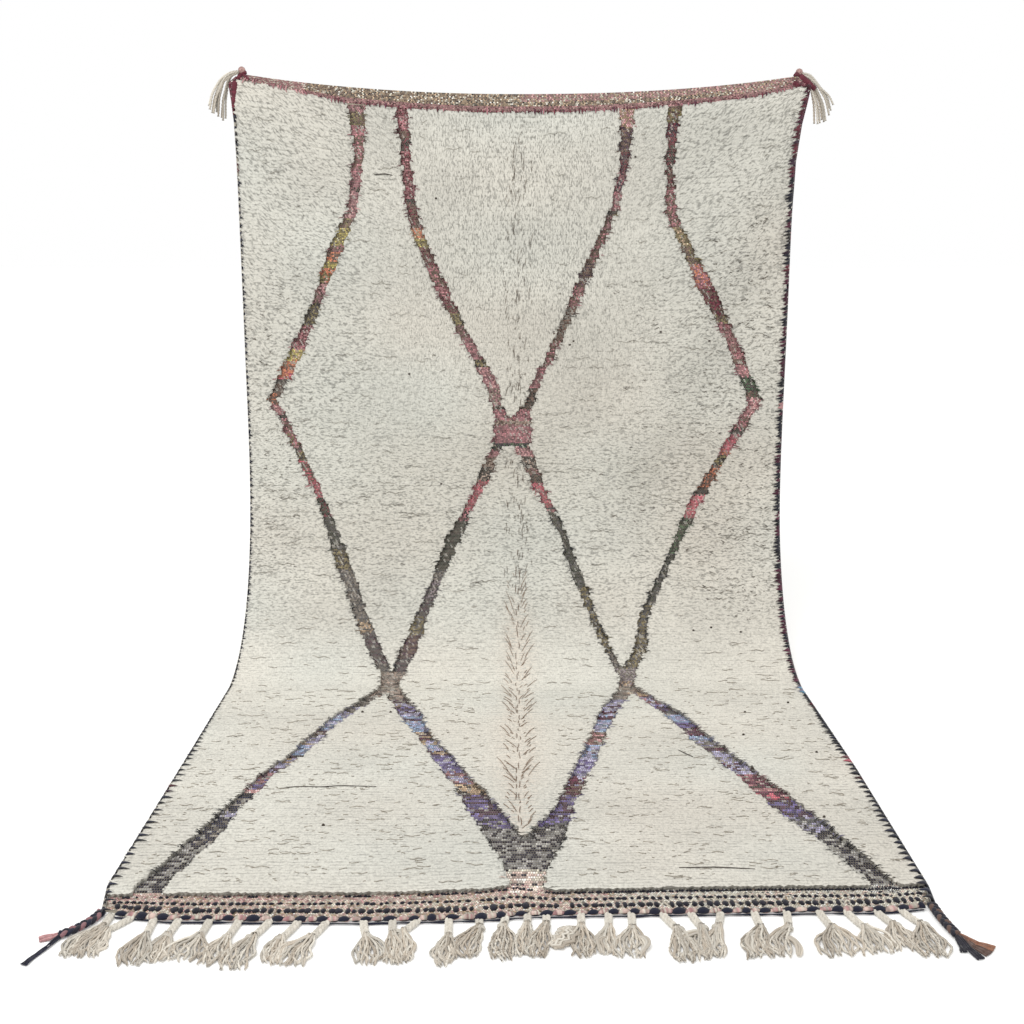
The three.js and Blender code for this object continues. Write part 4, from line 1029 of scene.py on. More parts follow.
def pile():
    row, column, across, down = pile_tufts()
    slope = sight_slope(down)
    floor = floor_part(down)
    rise = by_part(PILE, "rise", down)
    rise = rise + PILE["uneven"] * (scatter(row, column, 71) - 0.5) * (1 - 0.45 * floor)
    rise = rise + 0.2 * noise(across, down, 42.0, 26.0, 72) * (1 - 0.6 * floor)
    hung = hanging_part(across, down)
    wide = blend(PILE["wide"], PILE["hung_wide"], hung) * (0.7 + 0.6 * scatter(row, column, 73))
    wide = np.minimum(wide, 2.0 * (HALF_WIDTH + 3.0 - np.abs(across)) + 4.0)
    lean = blend(PILE["lean"], PILE["hung_lean"], hung) * (0.8 + 0.4 * scatter(row, column, 74))
    sway = PILE["sway"] * 2 * (scatter(row, column, 75) - 0.5) + 2.0 * noise(across, down, 55.0, 34.0, 76)
    sway = sway * (1 - 0.4 * floor)

    # Along the middle the tufts lean in towards a slit
    crease_part = smooth((down - CREASE["from"]) / (CREASE["full"] - CREASE["from"]))
    crease_part = crease_part * smooth((CREASE["end"] - down) / 60.0)
    away = across - CREASE["across"]
    near = np.exp(-(away / CREASE["half"]) ** 2)
    sway = sway - np.sign(away) * np.minimum(np.abs(away), 6.0) * near * crease_part

    belly_out = bank_top(down) + rise
    belly_seen = down + BELLY["lean"] * lean + (PILE["top"] - belly_out) * slope
    across, room, keep = combed(across, belly_seen, row)
    wide = np.minimum(wide, 2.0 * np.maximum(room, BRINK["stand"]) + 1.0)
    keep &= seen_line(across, down, -1.0) == 0
    tip_seen = down + lean + (PILE["top"] - belly_out) * slope
    short = lattice(across + sway, tip_seen, 1.0) > 0
    lean = np.where(short, lean * 0.5, lean)

    belly_across = across + BELLY["sway"] * sway
    belly_down = down + BELLY["lean"] * lean
    half = wide * 0.5
    points = np.stack([
        place(across - 0.34 * wide, down - 2.5, PILE["root"]),
        place(across + 0.34 * wide, down - 2.5, PILE["root"]),
        place(across, down + 4.0, PILE["root"]),
        place(belly_across - half, belly_down - 0.6, belly_out - PILE["drop"]),
        place(belly_across + half, belly_down - 0.6, belly_out - PILE["drop"]),
        place(belly_across, belly_down - 1.4, belly_out + PILE["crown"]),
        place(across + sway, down + lean, belly_out - PILE["crown"] * 0.5),
    ], axis=1)
    tint = pile_tints(row, column, across, down, near * crease_part)
    tints = tint[:, None, :] * TUFT_PAINTED_SHADE[None, :, None]
    pieces = []
    for k, (name, start) in enumerate(PILE_PARTS):
        stop = PILE_PARTS[k + 1][1] if k + 1 < len(PILE_PARTS) else FOOT_END
        mine = keep & (down >= start) & (down < stop)
        count = int(mine.sum())
        shape = Shape()
        faces = [repeated(TUFT_SIDES, count, 7), repeated(TUFT_TIP, count, 7)]
        shape.add(points[mine], faces, tints[mine])
        pieces.append(shape.build(name, PILE_WOOL, "pile", rounded=False))
    return pieces


def pile_tints(row, column, across, down, splay):
    """The wool's colour: cream, a little warmer to the right and along the middle slit, with painted light
    and shade down the rug.
    """
    cream = linear(PILE_CREAM)
    warm = linear(PILE_WARM)
    light = read(PAINTED_WOOL_LIGHT, down, 1) + 0.06 * (scatter(row, column, 81) - 0.5)
    light = light + 0.05 * noise(across, down, 180.0, 120.0, 82)
    warmth = 0.25 + 0.35 * noise(across, down, 260.0, 200.0, 83) + 0.2 * smooth(across / 700.0)
    warmth = np.clip(np.clip(warmth, 0, 1) + 0.9 * splay, 0, 1)
    tint = cream[None, :] * (1 - warmth[:, None]) + warm[None, :] * warmth[:, None]
    return tint * light[:, None]


# The partings of the pile: thin dark gaps between its rows, and the branching slit down its middle, drawn
# as thin dark tubes of painted shade laid on the pile

# How far across partings lie where their kind names no stretch of its own
WHOLE_WIDTH = (-HALF_WIDTH + 15, HALF_WIDTH - 15)
# Each kind by the stretch it lies in, how many there are, their length, thickness and tone, a tone of
# painted shade
PARTINGS = (
    {"from": 70, "to": 1000, "count": 300, "long": (10, 60), "thick": 0.5, "tone": (142, 136, 124)},
    {"from": 1000, "to": 1350, "count": 220, "long": (12, 85), "thick": 0.55, "tone": (136, 130, 118)},
    {"from": 1350, "to": 1750, "count": 150, "long": (10, 50), "thick": 0.6, "tone": (150, 140, 126)},
    {"from": 1750, "to": 2700, "count": 1190, "long": (5, 34), "thick": 0.45, "tone": (168, 160, 147)},
    {"from": 330, "to": 1450, "count": 360, "long": (4, 17), "thick": 0.85, "tone": (96, 88, 77),
     "across": (520, 730)},
    {"from": 430, "to": 1250, "count": 170, "long": (4, 15), "thick": 0.75, "tone": (108, 99, 88),
     "across": (210, 520)},
    {"from": 500, "to": 1300, "count": 130, "long": (4, 15), "thick": 0.75, "tone": (104, 96, 85),
     "across": (-730, -600)},
)
LONG_PARTINGS = (
    ((-640, 2352), (-580, 2349), (-520, 2350)), ((-505, 2318), (-470, 2308), (-400, 2311)),
    ((-170, 2103), (-100, 2096), (-30, 2090)), ((360, 2302), (430, 2298), (500, 2301)),
    ((-430, 2312), (-380, 2304), (-300, 2308)), ((300, 2650), (370, 2648), (440, 2655)),
    ((-350, 210), (-320, 214), (-300, 209)), ((-380, 214), (-350, 211), (-330, 214)),
    ((520, 2240), (560, 2256), (600, 2250)), ((370, 2118), (385, 2140), (398, 2156)),
)
SPECKS = (
    (-215, 270), (160, 650), (400, 625), (-295, 740), (490, 1485), (540, 1475), (620, 1490), (565, 1890),
    (-310, 1890), (-380, 1888), (-386, 2482), (520, 2215), (620, 2447), (680, 2130), (535, 2030),
    (150, 660), (685, 1827), (-210, 1052), (535, 650), (320, 165),
)


# The darkest tone: painted shade in the long partings, and the colour of the dark specks
DARKEST_SHADE_AND_SPECK = (70, 62, 54)

# Strokes about the middle: above the slit, along it, and from its sides towards it, dark strokes of painted
# shade where the pile parts
UPPER_STROKES = {
    "count": 240, "from": 70, "over": 1280, "across": 44, "least": 7, "range": 26, "thick": 0.62,
    "tone": (112, 100, 88),
}
SLIT_STROKES = {
    "count": 46, "before": 60, "across": 12, "least": 12, "range": 26, "bow": 4.0, "thick": 0.95,
    "tone": (112, 88, 70),
}
SIDE_STROKES = {
    "count": 150, "ends": 40, "inner": 3, "reach": 5, "range": 22, "least": 1.4, "more": 1.6, "thin": 0.6,
    "thicker": 0.3, "tone": (138, 114, 94),
}


def parting_lines():
    """The middle of every parting as (points, thickness, tone)."""
    lines = []
    for kind, row in enumerate(PARTINGS):
        for k in range(row["count"]):
            chance = chances(k, kind, 301, 7)
            length = blend(*row["long"], chance[0] ** 2.5)
            across = blend(*row.get("across", WHOLE_WIDTH), chance[1])
            down = blend(row["from"], row["to"], chance[2])
            if abs(across - CREASE["across"]) < CREASE["clear"]:
                continue
            t = np.linspace(-0.5, 0.5, max(4, int(length / 6)))
            wave = 2.8 * np.sin(2 * math.pi * (t * length / (20 + 16 * chance[3]) + chance[4]))
            downs = down + wave + t * length * 0.24 * (chance[5] - 0.5)
            thick = row["thick"] * (0.7 + 0.8 * chance[6] ** 2)
            lines.append((np.stack([across + t * length, downs], axis=1), thick, row["tone"]))
    for route in LONG_PARTINGS:
        lines.append((curve(route, 24), 1.5, DARKEST_SHADE_AND_SPECK))
    kind = UPPER_STROKES
    for k in range(kind["count"]):
        chance = chances(k, 9, 311, 5)
        down = kind["from"] + kind["over"] * chance[0]
        across = CREASE["across"] + kind["across"] * (chance[1] + chance[2] - 1)
        length = kind["least"] + kind["range"] * chance[3] ** 2
        t = np.linspace(0.0, 1.0, 5)
        drift = (chance[4] - 0.35) * -0.5 * length
        points = np.stack([across + drift * t, down + length * t], axis=1)
        lines.append((points, kind["thick"], kind["tone"]))
    kind = SLIT_STROKES
    for k in range(kind["count"]):
        chance = chances(k, 10, 321, 6)
        slit = CREASE["end"] - CREASE["from"]
        down = CREASE["from"] - kind["before"] + slit * (k + chance[0]) / kind["count"]
        across = CREASE["across"] + kind["across"] * (chance[1] - 0.5)
        length = kind["least"] + kind["range"] * chance[3]
        t = np.linspace(0.0, 1.0, 7)
        bow = kind["bow"] * (chance[4] - 0.5) * np.sin(math.pi * t) + kind["bow"] * (chance[5] - 0.5) * t
        points = np.stack([across + bow, down + length * t], axis=1)
        lines.append((points, kind["thick"], kind["tone"]))
    kind = SIDE_STROKES
    for k in range(kind["count"]):
        chance = chances(k, 11, 331, 5)
        sign = -1 if k % 2 else 1
        slit = CREASE["end"] - kind["ends"] - CREASE["from"]
        down = CREASE["from"] + slit * (k + chance[0]) / kind["count"]
        inner = kind["inner"] + kind["range"] * chance[1]
        outer = inner + kind["reach"] + kind["range"] * chance[2] ** 2
        length = (outer - inner) * (kind["least"] + kind["more"] * chance[3])
        t = np.linspace(0.0, 1.0, 6)
        across = CREASE["across"] + sign * blend(outer, inner, t ** 0.8)
        points = np.stack([across, down + length * t], axis=1)
        lines.append((points, kind["thin"] + kind["thicker"] * chance[4], kind["tone"]))
    return lines


def partings(lines):
    """Painted shade in the partings: thin dark tubes laid on the pile, and small dark cones for the specks.
    """
    shape = Shape()
    for points, thick, tone in lines:
        across = points[:, 0]
        down = points[:, 1]
        if np.any(seen_line(across, down, 5.0) > 0) or np.any(np.abs(across) > HALF_WIDTH - 6):
            continue
        if np.any(down > bowed(FOOT_TOP - 8.0, across)):
            continue
        ahead = unit(np.stack([np.gradient(across), np.gradient(down)], axis=1))
        t = np.linspace(0.0, 1.0, len(across))
        half = thick * (0.25 + 0.75 * np.sin(math.pi * t) ** 0.6)
        out = bank_top(down) + PILE["rise"] + (PILE["floor_rise"] - PILE["rise"]) * floor_part(down) + 0.9
        ring = section(across, down, out, half, 1.0, 3, (-ahead[:, 1], ahead[:, 0]), 0.25)
        add_tubes(shape, ring[None], linear(tone))
    angle = np.linspace(0, 2 * math.pi, 7)[:-1]
    for across, down in SPECKS:
        base = place(across + 4.5 * np.cos(angle), down + 3.5 * np.sin(angle), 13.0)
        top = place(across + 2.0 * np.cos(angle), down + 1.5 * np.sin(angle), 18.0)
        add_tubes(shape, np.stack([base, top])[None], linear(DARKEST_SHADE_AND_SPECK))
    return shape.build("pile_partings", PILE_WOOL, "pile")


# The cloth under the pile, with its back

# The back pale; the front, under the pile, painted much darker as painted shade where it shows between the
# tufts
CLOTH_TINT_AND_SHADE = {"front": (150, 140, 126), "back": (190, 182, 166)}


def cloth():
    shape = Shape()
    columns = np.linspace(-HALF_WIDTH, HALF_WIDTH, 61)
    rows = np.union1d(np.linspace(0.0, FOOT_END, 141), [side[0] for side in SIDES])
    row, across = np.meshgrid(rows, columns, indexing="ij")
    down = bowed(row, across)
    front = place(across, down, CLOTH)
    back = place(across, down, 0.0)
    tall, wide = row.shape
    index = np.arange(tall * wide).reshape(tall, wide)
    quads = np.stack([index[:-1, :-1], index[:-1, 1:], index[1:, 1:], index[1:, :-1]], axis=-1)
    quads = quads.reshape(-1, 4)
    under = quads[:, ::-1] + tall * wide
    rim = np.concatenate([index[0, :-1], index[:-1, -1], index[-1, :0:-1], index[:0:-1, 0]])
    following = np.roll(rim, -1)
    sides = np.stack([following, rim, rim + tall * wide, following + tall * wide], axis=-1)
    points = np.concatenate([front.reshape(-1, 3), back.reshape(-1, 3)])
    tints = np.repeat([linear(CLOTH_TINT_AND_SHADE[side]) for side in ("front", "back")], tall * wide, axis=0)
    shape.add(points, [quads, under, sides], tints)
    return shape.build("rug_cloth", CLOTH_WOOL, "weave", replaces=("rug_body",))


# The header and the band at the foot

# The two bands: how many rows of stitches, how wide a stitch is, and how high it stands
HEADER_BAND = {"rows": 12, "pitch": 4.6, "high": 1.4}
FOOT_BAND = {"rows": 19, "pitch": 4.4, "high": 1.3}


def band_stitches(first, last, kind, tint_of, seed):
    """A woven band between two levels of the cloth, with a tint for each row and column."""
    shape = Shape()
    rows, pitch = kind["rows"], kind["pitch"]
    columns = np.arange(-math.floor((HALF_WIDTH - 2) / pitch), math.floor((HALF_WIDTH - 2) / pitch) + 1)
    row, column = grid(np.arange(rows), columns)
    across = (column + 0.5 * (row % 2)) * pitch
    row, column, across = chosen(np.abs(across) < HALF_WIDTH - pitch / 2, row, column, across)
    step = (last - first) / rows
    level = first + (row + 0.5) * step
    down = bowed(level, across)
    tall = bowed(level + step / 2, across) - bowed(level - step / 2, across)
    tints = tint_of(row, column, across, (row + 0.5) / rows)
    top = CLOTH + kind["high"] * (0.75 + 0.5 * scatter(row, column, seed))
    add_stitches(shape, across, down, pitch, tall, top, tints)
    return shape


def mixed(row, column, seed, *choices):
    """Picks a yarn for each stitch: choices are (yarn, share) that add up to 1."""
    chance = scatter(row, column, seed)
    tints = np.zeros((len(row), 3))
    floor = 0.0
    for yarn, share in choices:
        mine = (chance >= floor) & (chance < floor + share + 1e-9)
        tints[mine] = linear(YARN[yarn])
        floor += share
    return tints * (0.6 + 0.8 * scatter(row, column, seed + 1))[:, None]


# Where the header's two ends turn pink, and where its teeth turn pink and slant
HEADER_ENDS = {"left": -560, "right": 560, "teeth": -520}


def header_tints(row, column, across, part):
    upper = mixed(row, column, 101, ("brown", 0.26), ("tan", 0.46), ("cream", 0.2), ("dark", 0.08))
    lower = mixed(row, column, 103, ("rose", 0.5), ("pink", 0.34), ("wine", 0.16))
    right = mixed(row, column, 105, ("pink", 0.42), ("mauve", 0.24), ("tan", 0.2), ("cream", 0.14))
    left = mixed(row, column, 106, ("rose", 0.4), ("pink", 0.3), ("cream", 0.3))
    checked = np.where((row + column) % 2 == 0, 1.3, 0.72)[:, None]
    tints = upper * checked
    pinker = (across > 10) & (part < 0.4) | (across > HEADER_ENDS["right"])
    tints = np.where(pinker[:, None], right * checked, tints)
    tints = np.where((part > 0.7)[:, None], lower, tints)
    return np.where((across < HEADER_ENDS["left"])[:, None], left, tints)


def foot_tints(row, column, across, part):
    peach = mixed(row, column, 111, ("peach", 0.5), ("pink", 0.2), ("cream", 0.2), ("tan", 0.1))
    ticks = mixed(row, column, 113, ("cream", 0.45), ("peach", 0.35), ("tan", 0.2))
    faded = mixed(row, column, 115, ("cream", 0.5), ("chalk", 0.3), ("peach", 0.1), ("charcoal", 0.1))
    right = smooth((across - 30.0) / 240.0)
    base = np.where((scatter(row, column, 117) < right)[:, None], faded, peach)
    ticked = (part > 0.35) & (scatter(row, column, 118) < 0.6 * (1 - 0.7 * right))
    return np.where(ticked[:, None], ticks, base) * FOOT_LIGHT


def header():
    shape = band_stitches(0.0, HEADER + 3.0, HEADER_BAND, header_tints, 109)
    add_header_teeth(shape)
    return shape.build("header_weave", WOVEN_WOOL, "weave")


HEADER_TEETH = {"pitch": 8.4, "share": 0.62, "least": 3.0, "most": 11.0, "half": 2.6, "high": 0.9}
# A tooth's sections: the share of its reach, how far out of the back, and size
HEADER_TOOTH = ((-0.6, 6.0, 1.0), (-0.2, 12.0, 1.1), (0.3, 17.6, 1.0), (0.75, 17.2, 0.7), (1.0, 16.0, 0.2))


def add_header_teeth(shape):
    """The last stitches of the header, hanging down over the pile."""
    kind = HEADER_TEETH
    count = math.floor((HALF_WIDTH - 6) / kind["pitch"])
    column = np.arange(-count, count + 1)
    clump = 0.5 + 0.5 * noise_along(column * kind["pitch"], 70.0, 251)
    column = column[scatter(column, 0, 252) < kind["share"] * (0.5 + clump)]
    across = column * kind["pitch"] + 4.0 * (scatter(column, 1, 253) - 0.5)
    edge = bowed(HEADER, across)
    reach = blend(kind["least"], kind["most"], scatter(column, 2, 254) ** 1.5)
    at_left = across < HEADER_ENDS["teeth"]
    slant = np.where(at_left, 5.0, 1.5 * (scatter(column, 3, 255) - 0.5))
    rings = []
    for share, out, size in HEADER_TOOTH:
        middle = (across + slant * share, edge + reach * share, out)
        rings.append(section(*middle, kind["half"] * size, kind["high"], 4, (1.0, 0.0)))
    tints = mixed(column, column * 0, 257, ("wine", 0.45), ("maroon", 0.2), ("rose", 0.35))
    left = mixed(column, column * 0, 259, ("pink", 0.5), ("rose", 0.5))
    tints = np.where(at_left[:, None], left, tints)
    add_tubes(shape, np.stack(rings, axis=1), tints[:, None, None, :])


# The foot's rows of black dashes: where in the band, how far apart, their size, and the share of places
# that have one, which in the first row changes along it
DASHES = (
    {"part": 0.06, "pitch": 6.5, "wide": 8.5, "tall": 7.0},
    {"part": 0.40, "pitch": 12.8, "wide": 10.4, "tall": 11.5, "share": 0.96},
    {"part": 0.74, "pitch": 13.6, "wide": 12.6, "tall": 20.0, "share": 0.97},
)


def first_dashes(across):
    """The first row of dashes is full on the right and lies in clumps on the left."""
    heavy = smooth((across - 100.0) / 120.0)
    clump = 0.5 + 0.5 * noise_along(across, 120.0, 131)
    return np.maximum(heavy, 0.35 + 0.65 * clump)


def foot():
    shape = band_stitches(FOOT_TOP - 12.0, FOOT_END, FOOT_BAND, foot_tints, 119)
    for k, dash in enumerate(DASHES):
        count = math.floor(HALF_WIDTH / dash["pitch"])
        column = np.arange(-count + 1, count)
        share = dash["share"] if "share" in dash else first_dashes(column * dash["pitch"])
        column = column[scatter(column, 0, 121 + k) < share]
        across = column * dash["pitch"] + (scatter(column, 1, 124 + k) - 0.5) * 4.2
        level = blend(FOOT_TOP, FOOT_END, dash["part"])
        down = bowed(level, across) + (scatter(column, 2, 127 + k) - 0.5) * 2.2
        wide = dash["wide"] * (0.68 + 0.6 * scatter(column, 3, 131 + k))
        tall = dash["tall"] * (0.66 + 0.56 * scatter(column, 4, 134 + k))
        tints = linear(YARN["black"])[None, :] * (0.8 + 0.5 * scatter(column, 5, 137 + k))[:, None]
        add_blobs(shape, across, down, wide, tall, CLOTH + 0.6, CLOTH + 4.0, tints)
    return shape.build("foot_weave", WOVEN_WOOL, "weave")


def add_blobs(shape, across, down, wide, tall, low, high, tints):
    """A closed round knot for each place: a rim of eight points, uneven in reach, and a raised middle."""
    count = len(across)
    points = []
    for k in range(8):
        angle = 2 * math.pi * (k + 0.5) / 8
        reach = 0.5 * (0.86 + 0.28 * scatter(np.arange(count), k, 161))
        beside = across + wide * reach * math.cos(angle)
        points.append(place(beside, down + tall * reach * math.sin(angle), low))
    points.append(place(across, down, high))
    sides = [(k, (k + 1) % 8, 8) for k in range(8)]
    faces = [repeated(sides, count, 9), repeated((tuple(range(7, -1, -1)),), count, 9)]
    shape.add(np.stack(points, axis=1), faces, tints[:, None, :])


# The twined edge and the fringe

def foot_edge(across):
    return read(FOOT, across, 2)


def twined_edge():
    """Two plies that swell where they lie on top and pass under in turn, over a dark edge yarn."""
    shape = Shape()
    across = np.arange(TWINE["left"], TWINE["right"] + 1, TWINE["step"])
    edge = foot_edge(across) + CLEARANCE
    wander = 8.0 * noise_along(across, 62.0, 241)
    uneven = 1 + 0.3 * noise_along(across, 36.0, 245)
    step = np.arange(len(across))
    navy = np.broadcast_to(linear(YARN["navy"]) * 0.9, (len(across), 3))
    pink = mixed(step, step * 0, 246, ("peach", 0.5), ("pink", 0.3), ("cream", 0.2)) * 0.8
    for ply, (tints, size) in enumerate(((navy, 1.0), (pink, 0.72))):
        angle = 2 * math.pi * (across + wander) / TWINE["turn"] + math.pi * ply
        on_top = np.maximum(np.sin(angle), 0.0) ** 0.65
        down = edge + TWINE["middle"] + TWINE["swing"] * np.cos(angle)
        down = down + 1.6 * noise_along(across, 60.0, 242)
        swell = TWINE["thin"] + (TWINE["fat"] - TWINE["thin"]) * on_top * size
        swell = swell * uneven
        line = floor_place(across, down, 5.2 + TWINE["rise"] * np.sin(angle))[None]
        add_tubes(shape, ringed(line, UP, swell, swell * TWINE["flat"], 8), tints[None, :, None, :])
    under = edge + TWINE["under"] + 1.2 * noise_along(across, 34.0, 243)
    thick = 1.5 + 0.9 * noise_along(across, 26.0, 244)
    line = floor_place(across, under, 2.6)[None]
    add_tubes(shape, ringed(line, UP, thick, thick, 5), linear(YARN["navy"]))
    return shape.build("twined_edge", WOVEN_WOOL, "warp", replaces=("bottom_fringe",))


def braid_line(root, knot, knot_down, steps):
    """The middle of a braid on the floor, from the twined edge to its knot."""
    start = foot_edge(root) + CLEARANCE + BRAID["under"]
    t = np.linspace(0.0, 1.0, steps)
    return blend(root, knot, t ** BRAID["bend"]), blend(start, knot_down, t)


def add_plait(shape, across, down, kind, tints, phase=0.0):
    """Three strands plaited along a line on the floor."""
    length = running(np.hypot(np.diff(across), np.diff(down)))
    ahead_a = np.gradient(across)
    ahead_d = np.gradient(down)
    size = np.hypot(ahead_a, ahead_d)
    side_a = ahead_d / size
    side_d = -ahead_a / size
    for k in range(3):
        angle = 2 * math.pi * (length / kind["turn"] + k / 3) + phase
        offset = kind["swing"] * np.sin(angle)
        out = kind["low"] + kind["rise"] * np.sin(2 * angle)
        line = floor_place(across + side_a * offset, down + side_d * offset, out)[None]
        rings = ringed(line, UP, kind["thick"], kind["thick"] * kind["flat"], kind["sides"])
        add_tubes(shape, rings, tints[k])


def braids():
    shape = Shape()
    for k, (root, knot, knot_down, _, _, _) in enumerate(BRAIDS):
        steps = max(8, int((knot_down - foot_edge(root)) / BRAID["step"]))
        across, down = braid_line(root, knot, knot_down, steps)
        tints = [linear(WARP_PALE) * (0.78 + 0.2 * float(scatter(k, ply, 141))) for ply in range(3)]
        add_plait(shape, across, down, PLAIT, tints, phase=6.0 * float(scatter(k, 0, 142)))
    return shape.build("fringe_braids", WARP_WOOL, "warp")


def warp_tints(yarn, k, seed):
    """Each yarn somewhere between the pale and the tan warp."""
    warm = scatter(yarn, k, seed)[:, None]
    return linear(WARP_PALE)[None, :] * (1 - warm) + linear(WARP_TAN)[None, :] * warm


def by_strand(tint, shade):
    return (tint * shade[:, None])[:, None, None, :]


def tapered(t):
    return 1 - 0.45 * smooth((t - 0.9) / 0.1)


def tails():
    """The loose yarns below each knot, fanned out and lying over each other."""
    shape = Shape()
    t = np.linspace(0.0, 1.0, TAIL["steps"])[None, :]
    for k, (root, knot, knot_down, left, right, end) in enumerate(BRAIDS):
        yarn = np.arange(TAIL["yarns"])
        part = (yarn + 0.5) / TAIL["yarns"]
        chance = scatter(yarn, k, 151)
        tip = left - TAIL["spread"] + (right - left + 2 * TAIL["spread"]) * part
        share = 1 - TAIL["hidden"] / (knot_down - foot_edge(root))
        start = blend(root, knot, share ** BRAID["bend"]) + (part - 0.5) * 8.0
        stop = end + 4.0 - TAIL["uneven"] * chance ** 1.5
        curl = TAIL["wave"] * (0.5 + scatter(yarn, k, 154))[:, None]
        wave = curl * np.sin(2 * math.pi * (t * (1.0 + 1.2 * chance[:, None]) + chance[:, None] * 3)) * t
        hook = 9.0 * (scatter(yarn, k, 155)[:, None] - 0.5) * smooth((t - 0.7) / 0.3)
        hook = hook - TAIL["curl_in"] * 2 * (part[:, None] - 0.5) * smooth((t - 0.62) / 0.38)
        across = blend(start[:, None], tip[:, None], smooth(t * 1.7) ** 0.8) + wave + hook
        down = blend(knot_down - TAIL["hidden"], stop[:, None], t)
        level = 7.5 * scatter(yarn, k, 152)[:, None]
        out = 2.4 + level * (1 - smooth(t * 1.2)) + 1.6 * np.sin(9 * t + 6 * chance[:, None]) ** 2
        line = floor_place(across, down, out)
        length = (stop - knot_down)[:, None] * t
        spin = 2 * math.pi * length / TAIL["turn"]
        rings = ringed(line, UP, TAIL["thick"] * tapered(t), TAIL["thin"] * tapered(t), 4, turns=spin)
        add_tubes(shape, rings, by_strand(warp_tints(yarn, k, 156), 0.72 + 0.42 * scatter(yarn, k, 153)))
    add_loose(shape)
    return shape.build("fringe_tails", WARP_WOOL, "warp")


def add_loose(shape):
    """Curled and folded locks beside the tails."""
    t = np.linspace(0.0, 1.0, TAIL["steps"])
    for k, lock in enumerate(LOOSE):
        route = curve(lock["route"], TAIL["steps"])
        ahead = unit(np.gradient(route, axis=0))
        yarn = np.arange(lock["yarns"])
        part = ((yarn + 0.5) / lock["yarns"] - 0.5)[:, None]
        chance = scatter(yarn, k, 157)[:, None]
        offset = lock["spread"] * part * (0.4 + 0.6 * np.sin(math.pi * t) ** 0.7)
        offset = offset + lock["kink"] * np.sin(2 * math.pi * (lock["waves"] * t + chance))
        across = route[:, 0] - ahead[:, 1] * offset
        down = route[:, 1] + ahead[:, 0] * offset
        out = 3.2 + 6.5 * chance * np.sin(math.pi * t)
        line = floor_place(across, down, out)
        rings = ringed(line, UP, TAIL["thick"] * tapered(t), TAIL["thin"] * tapered(t), 4)
        add_tubes(shape, rings, by_strand(warp_tints(yarn, k, 159), 0.72 + 0.36 * scatter(yarn, k, 158)))


def knots():
    """The turns of yarn that close each braid above its tail."""
    shape = Shape()
    angle = np.linspace(0.0, 2 * math.pi, 15)[:-1]
    along = np.array([0.0, 1.0, 0.0])
    for _, knot, knot_down, _, _, _ in BRAIDS:
        for turn in range(KNOT["turns"]):
            across = knot + (KNOT["wide"] - KNOT["less"] * abs(turn - 1)) * np.cos(angle)
            down = knot_down - KNOT["above"] + turn * KNOT["apart"] + KNOT["slant"] * np.cos(angle)
            points = floor_place(across, down, KNOT["low"] + KNOT["high"] * np.sin(angle))
            tint = linear(WARP_PALE) * 0.8
            add_loop(shape, points, points.mean(axis=0), along, KNOT["yarn"] * MM, 4, tint)
    return shape.build("fringe_knots", WARP_WOOL, "warp")


# The side cords

SIDE_YARN = {
    -1: (
        (0, "wine", "rose", 0.3), (95, "dark", "navy"), (200, "wine", "pink"), (235, "navy", "black"),
        (2290, "plum", "wine", 0.3), (2335, "navy", "black"),
    ),
    1: (
        (0, "wine", "maroon"), (110, "wine", "plum", 0.45), (230, "maroon", "black", 0.5),
        (370, "red", "dark"), (395, "black", "plum"), (455, "red", "wine", 0.3), (475, "black", "maroon"),
        (818, "red", "pink"), (842, "black", "maroon"), (1700, "sky", "lilac"), (1772, "black", "navy"),
        (1830, "plum", "wine"), (1865, "black", "navy"), (2148, "red", "rose"), (2184, "black", "navy"),
        (2242, "red", "wine"), (2282, "black", "navy"),
    ),
}
# The overcasting's teeth: pitch, and the least and most that they reach in, hanging and on the floor
SIDE_TEETH = {
    -1: {"pitch": 17.0, "least": 3.0, "most": 10.0, "half": 3.4, "left_out": 0.4,
         "floor_pitch": 27.0, "floor_reach": 22.0},
    1: {"pitch": 9.0, "least": 8.5, "most": 20.0, "half": 5.3, "left_out": 0.04,
        "floor_pitch": 22.0, "floor_reach": 20.0},
}
SIDE_THICKER = {"part": 0.9, "fades": 80.0}
# A tooth's sections: how far in (below 0, over the cord), out of the back, size
SIDE_TOOTH = (
    (-0.95, 5.0, 0.8), (-0.7, 8.6, 1.0), (0.05, 15.6, 1.0), (0.3, 16.6, 0.75), (0.65, 16.8, 0.42),
    (1.0, 16.0, 0.08),
)


# Pale wool between the stitches of the left cord: its colour, the part of a stitch from which it shows,
# and where it starts
PALE_BETWEEN = {"tint": (168, 162, 150), "part": 0.42, "from": 110.0}

# Where the cloth lies flat and the teeth stand wider apart
TEETH_LIE = {"from": 1900.0, "over": 300.0}


def teeth_lie(down):
    return smooth((down - TEETH_LIE["from"]) / TEETH_LIE["over"])


def side_tints(sign, down, row):
    """Dark yarn on the right; on the left pale wool shows between the dark stitches."""
    tints = yarn_tints(SIDE_YARN[sign], down, row, row * 0, 160 + sign, CORD_LIGHT, 0.0)
    if sign > 0:
        return tints
    part = (down / SIDE_TEETH[sign]["pitch"]) % 1.0
    pale = (part > PALE_BETWEEN["part"]) & (down > PALE_BETWEEN["from"])
    return np.where(pale[:, None], linear(PALE_BETWEEN["tint"]), tints)


